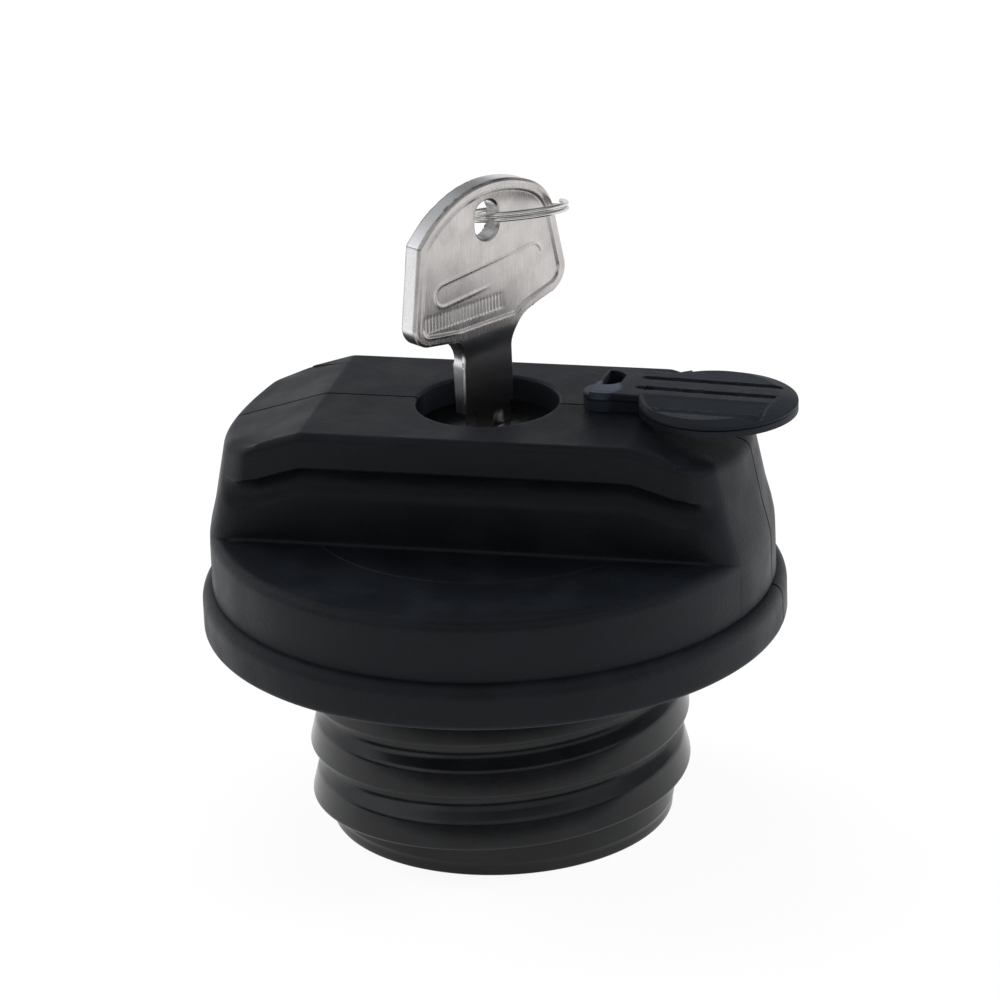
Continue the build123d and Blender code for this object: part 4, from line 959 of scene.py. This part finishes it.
def grained_plastic(name, looks, parting_line):
    """Black plastic with a spark-eroded grain: fine pits, lighter specks painted in as sparkle (painted
    glints) and worn patches. A parting line runs along y = 0 with painted shade in its groove, or else the
    whole plastic is lightened as a painted reflection and is lighter still round the flap's pivot."""
    base = tuple(looks.cover)
    finish = Finish(name, base, looks.cover_roughness, Specular_IOR_Level=0.14)
    fine = finish.noise(looks.grain, 3.0)
    pits = finish.cells(looks.grain * 1.6)
    patches = finish.noise(6 * MM, 4.0)
    height = finish.math("ADD", fine, finish.product(pits, 0.6))
    tint = finish.mix(finish.span(patches, 0.35, 0.70), scaled(base, 0.85), scaled(base, 1.2))
    # Lighter specks at the grain's peaks: painted glints standing in for the plastic's sparkle.
    painted_glints = finish.product(finish.span(fine, 0.60, 0.74), 0.5)
    tint = finish.mix(painted_glints, tint, scaled(base, 3.0))
    rough = finish.span(patches, 0.3, 0.7, looks.cover_roughness - 0.06, looks.cover_roughness + 0.06)
    normal = finish.bump(height, 0.045 * MM, 0.8)
    if parting_line:
        # The near-black line along the parting groove is painted shade.
        groove = finish.span(finish.math("ABSOLUTE", finish.y), 0.13 * MM, 0.27 * MM)
        tint = finish.mix(groove, scaled(base, 0.1), tint)
        rough = finish.most(rough, finish.math("SUBTRACT", 1.0, groove))
        normal = finish.bump(groove, 0.16 * MM, 1.0, normal)
    else:
        off_x = finish.math("SUBTRACT", finish.x, PIVOT.x)
        squares = finish.math("ADD", finish.product(off_x, off_x), finish.product(finish.y, finish.y))
        near_pivot = finish.span(finish.math("SQRT", squares), EYE_R - 0.6 * MM, EYE_R + 0.2 * MM, 1.0, 0.0)
        # Painted reflection: the whole flap is mixed towards a lighter copy of the plastic; round the pivot
        # it is lighter still.
        tint = finish.mix(near_pivot, finish.mix(0.6, tint, scaled(base, 2.4)), scaled(base, 8.0))
    return finish.done(tint, rough, normal)


def smooth_plastic(looks):
    """Glossy black neck, with faint flow marks and fine rubbing."""
    base, roughness = tuple(looks.neck), looks.neck_roughness
    finish = Finish("smooth_plastic", base, roughness, Specular_IOR_Level=0.28)
    waves = finish.noise(5 * MM, 2.0)
    rub = finish.noise(0.35 * MM, 3.0, stretch=(1, 1, 6))
    return finish.done(finish.mix(finish.span(waves, 0.3, 0.7), scaled(base, 0.8), scaled(base, 1.3)),
                       finish.span(rub, 0.3, 0.75, roughness - 0.04, roughness + 0.09),
                       finish.bump(rub, 0.004 * MM, 0.4, finish.bump(waves, 0.08 * MM, 0.3)))


def satin_nickel(looks):
    """Nickel plate, dull on the key's faces and painted brighter on its edges as a highlight, told by depth
    in its thickness.
    """
    dull, bright, roughness = tuple(looks.nickel), tuple(looks.edge_highlight_nickel), looks.nickel_roughness
    finish = Finish("satin_nickel", dull, roughness, 1.0)
    depth = finish.math("SUBTRACT", finish.product(finish.y, cos(KEY_AZ)),
                        finish.product(finish.x, sin(KEY_AZ)))
    face = finish.span(finish.math("ABSOLUTE", depth), 0.88 * MM, 1.04 * MM)
    bow = finish.span(finish.z, GRIP_TOP + 6 * MM, GRIP_TOP + 14 * MM)
    marks = finish.product(finish.noise(0.12 * MM, 2.0, stretch=(1, 1, 0.04)), bow)
    film = finish.noise(3.5 * MM, 3.0)
    patchy = finish.mix(finish.span(film, 0.35, 0.75), scaled(dull, 1.06), scaled(dull, 0.86))
    # Edges get the brighter nickel as a painted highlight, faces the dull patchy one.
    return finish.done(finish.mix(face, bright, patchy),
                       finish.span(marks, 0.3, 0.7, roughness - 0.04, roughness + 0.04),
                       finish.bump(marks, 0.004 * MM, 0.3))


def plain_metal(name, base, roughness, grain_size, stretch=(1, 1, 1)):
    """Bare metal with a fine grain in its gloss."""
    finish = Finish(name, base, roughness, 1.0)
    grain = finish.noise(grain_size, 3.0, stretch)
    return finish.done(finish.mix(finish.span(grain, 0.25, 0.8), scaled(base, 0.85), base),
                       finish.span(grain, 0.3, 0.7, roughness * 0.8, roughness * 1.25),
                       finish.bump(grain, 0.010 * MM, 0.4))


def plain_moulding(name, base, roughness, grain_size):
    """Moulded plastic or rubber with a soft mottling."""
    finish = Finish(name, base, roughness, Specular_IOR_Level=0.4)
    grain = finish.noise(grain_size, 3.0)
    return finish.done(finish.mix(finish.span(grain, 0.3, 0.7), scaled(base, 0.88), scaled(base, 1.1)),
                       finish.span(grain, 0.3, 0.7, roughness - 0.05, roughness + 0.05),
                       finish.bump(grain, 0.01 * MM, 0.5))


# ---- operators
class CAP_OT_cover(bpy.types.Operator):
    """Moulded cover: rim, band, finger floor and grip bar"""
    bl_idname = "fuelcap.cover"
    bl_label = "Cover"

    def execute(self, context):
        sizes, looks = context.scene.cap_sizes, context.scene.cap_finishes
        parts = around(cover_profile(sizes.floor_line), whole_turn(288)), grip_rings(sizes.foot_round)
        piece = make_piece("cover_moulding", [grid(points, loop_u=True, loop_v=True) for points in parts])
        settle(piece, grained_plastic("grained_cover", looks, True), "shell", "cover_plastic", "outer_cover")
        return {"FINISHED"}


class CAP_OT_neck(bpy.types.Operator):
    """Threaded neck with its flange"""
    bl_idname = "fuelcap.neck"
    bl_label = "Neck"

    def execute(self, context):
        piece = make_piece("threaded_neck", [neck_wall(180), neck_rest(180)], sharp=radians(50))
        settle(piece, smooth_plastic(context.scene.cap_finishes), "plug", "neck_plastic", "neck_plug")
        return {"FINISHED"}


class CAP_OT_key(bpy.types.Operator):
    """Key with its bevelled bow, sunk panel and cut blade"""
    bl_idname = "fuelcap.key"
    bl_label = "Key"

    def execute(self, context):
        points = turned(key_points(context.scene.cap_sizes), KEY_AZ)
        piece = make_piece("flat_key", [grid(points, loop_v=True), fan(points[0])])
        beyond = np.array((0, BOW_T, 0))
        cut_through(piece, turned(key_hole() - beyond, KEY_AZ), turned(key_hole() + beyond, KEY_AZ))
        settle(piece, satin_nickel(context.scene.cap_finishes), "key", "key_nickel", "cap_key")
        return {"FINISHED"}


class CAP_OT_ring(bpy.types.Operator):
    """Split ring of nearly two turns of round wire"""
    bl_idname = "fuelcap.ring"
    bl_label = "Split ring"

    def execute(self, context):
        piece = make_piece("split_ring", tube(ring_line(), RING_WIRE, 24))
        steel = plain_metal("ring_steel", tuple(context.scene.cap_finishes.steel), 0.14, 0.3 * MM)
        settle(piece, steel, "ring", "ring_steel", "key_ring")
        return {"FINISHED"}


class CAP_OT_flap(bpy.types.Operator):
    """Keyhole flap: ribbed disc, arm with its window and pivot eye"""
    bl_idname = "fuelcap.flap"
    bl_label = "Keyhole flap"

    def execute(self, context):
        piece = make_piece("keyhole_flap", [grid(turned(flap_points(), FLAP_AZ, PIVOT), loop_v=True)])
        cut_through(piece, window_outline(GRIP_TOP - 1 * MM), window_outline(FLAP_TOP + 1 * MM))
        material = grained_plastic("grained_flap", context.scene.cap_finishes, False)
        settle(piece, material, "flap", "flap_plastic", "keyhole_cover")
        return {"FINISHED"}


class CAP_OT_inner_pieces(bpy.types.Operator):
    """Finishes of the lock, seals, valves, springs and screws"""
    bl_idname = "fuelcap.inner_pieces"
    bl_label = "Lock, valves and seals"

    def execute(self, context):
        made = {
            "gasket_rubber": plain_moulding("gasket_rubber", (0.012, 0.012, 0.012), 0.62, 0.5 * MM),
            "seal_rubber": plain_moulding("seal_rubber", (0.015, 0.015, 0.015), 0.6, 0.5 * MM),
            "plate_plastic": plain_moulding("plate_plastic", (0.016, 0.017, 0.019), 0.45, 0.8 * MM),
            "neck_plastic": plain_moulding("grille_plastic", (0.012, 0.012, 0.013), 0.35, 0.8 * MM),
            "inner_plastic": plain_moulding("natural_acetal", (0.60, 0.58, 0.52), 0.38, 1.5 * MM),
            # Near-black base colour for the lock's zinc pieces.
            "lock_zinc": plain_metal("zinc_casting", (0.035, 0.035, 0.038), 0.34, 0.6 * MM),
            # Dark base colour on the barrel's polished face: painted dark reflection of the well round it.
            "cap_steel": plain_metal("stamped_face_painted_dark", (0.12, 0.12, 0.12), 0.18, 0.5 * MM),
            "wafer_brass": plain_metal("stamped_brass", (0.70, 0.50, 0.22), 0.32, 0.4 * MM),
            "spring_steel": plain_metal("drawn_wire", (0.42, 0.42, 0.43), 0.30, 0.2 * MM, (1, 1, 4)),
            "screw_steel": plain_metal("plated_screw", (0.50, 0.50, 0.52), 0.34, 0.3 * MM),
        }
        slots = {entry["node"]: entry["material_slot"] for entry in frame["record"]["subparts"]}
        for name, node in frame["nodes"].items():
            if node.hide_render or slots[name] not in made:
                continue
            node.data.materials.clear()
            node.data.materials.append(made[slots[name]])
        return {"FINISHED"}


class CAP_OT_stage(bpy.types.Operator):
    """Floor, lamps, background and camera"""
    bl_idname = "fuelcap.stage"
    bl_label = "Stage"

    def execute(self, context):
        make_floor()
        make_world()
        soft_box("top_light", (-0.20, 0.25, 0.62), (0.45, 0.40), 2.5)
        soft_box("right_light", (0.60, 0.20, 0.30), (0.30, 0.40), 5.0)
        soft_box("left_light", (-0.60, 0.20, 0.26), (0.30, 0.40), 4.0)
        make_camera(context.scene.cap_stage)
        context.scene.view_settings.view_transform = "Standard"
        return {"FINISHED"}


def make_floor():
    """Large pale floor under the cap, near white to the camera and in gloss, and still shaded by the cap."""
    size, pale = 6.0, (0.86, 0.86, 0.86)
    mesh = bpy.data.meshes.new("floor")
    corners = [(-size, -size, 0), (size, -size, 0), (size, size, 0), (-size, size, 0)]
    mesh.from_pydata(corners, [], [(0, 1, 2, 3)])
    floor = bpy.data.objects.new("floor", mesh)
    bpy.context.scene.collection.objects.link(floor)
    finish = Finish("pale_floor", pale, 0.9, Specular_IOR_Level=0.0)
    finish.link(finish.mix(finish.noise(0.02), pale, (0.87, 0.87, 0.87)), finish.shader.inputs["Base Color"])
    white = finish.node("ShaderNodeEmission")
    rays = finish.node("ShaderNodeLightPath").outputs
    # In gloss the floor's white fades out towards the front: a painted falloff of the lamps' light away from
    # the cap.
    gloss = finish.product(rays["Is Glossy Ray"], finish.span(finish.y, -0.45, -0.20), 0.7)
    seen = finish.most(rays["Is Camera Ray"], rays["Is Transmission Ray"], gloss)
    finish.blend(finish.product(seen, 0.92), finish.shader.outputs[0], white.outputs[0], finish.output)
    floor.data.materials.append(finish.material)


def make_world():
    """White background, and for everything else a dark studio with a white wall low behind the cap, a soft
    light high in front and another high on the left."""
    world = bpy.data.worlds.new("studio")
    world.use_nodes = True
    bpy.context.scene.world = world
    studio = Nodes(world.node_tree)
    axes = studio.node("ShaderNodeSeparateXYZ")
    studio.link(studio.node("ShaderNodeTexCoord").outputs["Generated"], axes.inputs[0])
    x, y, z = axes.outputs
    back = studio.span(y, -0.2, 0.3)
    front = studio.math("SUBTRACT", 1.0, back)
    left = studio.span(x, -0.6, -0.3, 1.0, 0.0)
    wall = studio.product(back, studio.span(z, 0.15, 0.30, 1.0, 0.0))
    strength = 0.02
    for part in (
            wall,
            studio.product(front, studio.span(z, 0.22, 0.32), studio.span(z, 0.85, 0.95, 1.0, 0.0), 0.7),
            studio.product(left, studio.span(z, 0.20, 0.30), studio.span(z, 0.60, 0.80, 1.0, 0.0), 0.6),
            studio.product(studio.math("SUBTRACT", back, wall), 0.2)):
        strength = studio.math("ADD", part, strength)
    dim, white = studio.node("ShaderNodeBackground"), studio.node("ShaderNodeBackground")
    dim.inputs["Color"].default_value = (0.95, 0.975, 1.0, 1)
    white.inputs["Color"].default_value = (1, 1, 1, 1)
    studio.link(strength, dim.inputs["Strength"])
    rays = studio.node("ShaderNodeLightPath").outputs
    seen = studio.most(rays["Is Camera Ray"], rays["Is Transmission Ray"],
                       studio.product(rays["Is Glossy Ray"], wall))
    studio.blend(seen, dim.outputs[0], white.outputs[0], studio.node("ShaderNodeOutputWorld"))


def soft_box(name, place, size, watts):
    """Rectangular lamp that faces the cap's middle."""
    lamp = bpy.data.lights.new(name, "AREA")
    lamp.shape = "RECTANGLE"
    lamp.size, lamp.size_y = size
    lamp.energy = watts
    box = bpy.data.objects.new(name, lamp)
    box.visible_glossy = False
    box.location = place
    box.rotation_euler = (LAMP_AIM - Vector(place)).to_track_quat("-Z", "Y").to_euler()
    bpy.context.scene.collection.objects.link(box)


def make_camera(stage):
    """Long lens on the cap, aimed so that the cap's middle lies below and left of the picture's middle."""
    lens_px, target_x, target_y, middle, sensor = 5103.7, 495.0, 589.9, 500.0, 36.0
    a, e, roll = stage.azimuth, stage.elevation, stage.roll
    back = Vector((sin(a) * cos(e), -cos(a) * cos(e), sin(e)))
    level = Vector((cos(a), sin(a), 0))
    up = back.cross(level)
    right, top = level * cos(roll) - up * sin(roll), level * sin(roll) + up * cos(roll)
    aim = (-back * lens_px + right * (middle - target_x) + top * (target_y - middle)).normalized()
    right = (right - aim * right.dot(aim)).normalized()
    top = right.cross(aim)
    camera = bpy.data.cameras.new("camera")
    camera.sensor_width = sensor
    camera.lens = sensor * lens_px / (2 * middle)
    camera.clip_start, camera.clip_end = 0.05, 30
    view = bpy.data.objects.new("camera", camera)
    place = CAP_MIDDLE + back * stage.distance
    view.matrix_world = Matrix.Translation(place) @ Matrix((right, top, -aim)).transposed().to_4x4()
    bpy.context.scene.collection.objects.link(view)
    bpy.context.scene.camera = view


class CAP_PT_sidebar(bpy.types.Panel):
    """Lists the cap's pieces"""
    bl_idname = "CAP_PT_sidebar"
    bl_label = "Fuel cap"
    bl_space_type = "VIEW_3D"
    bl_region_type = "UI"
    bl_category = "Fuel cap"

    def draw(self, context):
        for group in (context.scene.cap_finishes, context.scene.cap_sizes, context.scene.cap_stage):
            for name in group.__annotations__:
                self.layout.prop(group, name)
        for operator in PIECES:
            self.layout.operator(operator.bl_idname)


GROUPS = {"cap_finishes": CapFinishes, "cap_sizes": CapSizes, "cap_stage": CapStage}
PIECES = (CAP_OT_cover, CAP_OT_neck, CAP_OT_key, CAP_OT_ring, CAP_OT_flap, CAP_OT_inner_pieces, CAP_OT_stage)


def register():
    for cls in (*GROUPS.values(), *PIECES, CAP_PT_sidebar):
        bpy.utils.register_class(cls)
    for name, group in GROUPS.items():
        setattr(bpy.types.Scene, name, bpy.props.PointerProperty(type=group))


def unregister():
    for name in GROUPS:
        delattr(bpy.types.Scene, name)
    for cls in (CAP_PT_sidebar, *reversed(PIECES), *reversed(list(GROUPS.values()))):
        bpy.utils.unregister_class(cls)


def main():
    register()
    for operator in PIECES:
        group, name = operator.bl_idname.split(".")
        getattr(getattr(bpy.ops, group), name)()


if __name__ == "__main__":
    main()
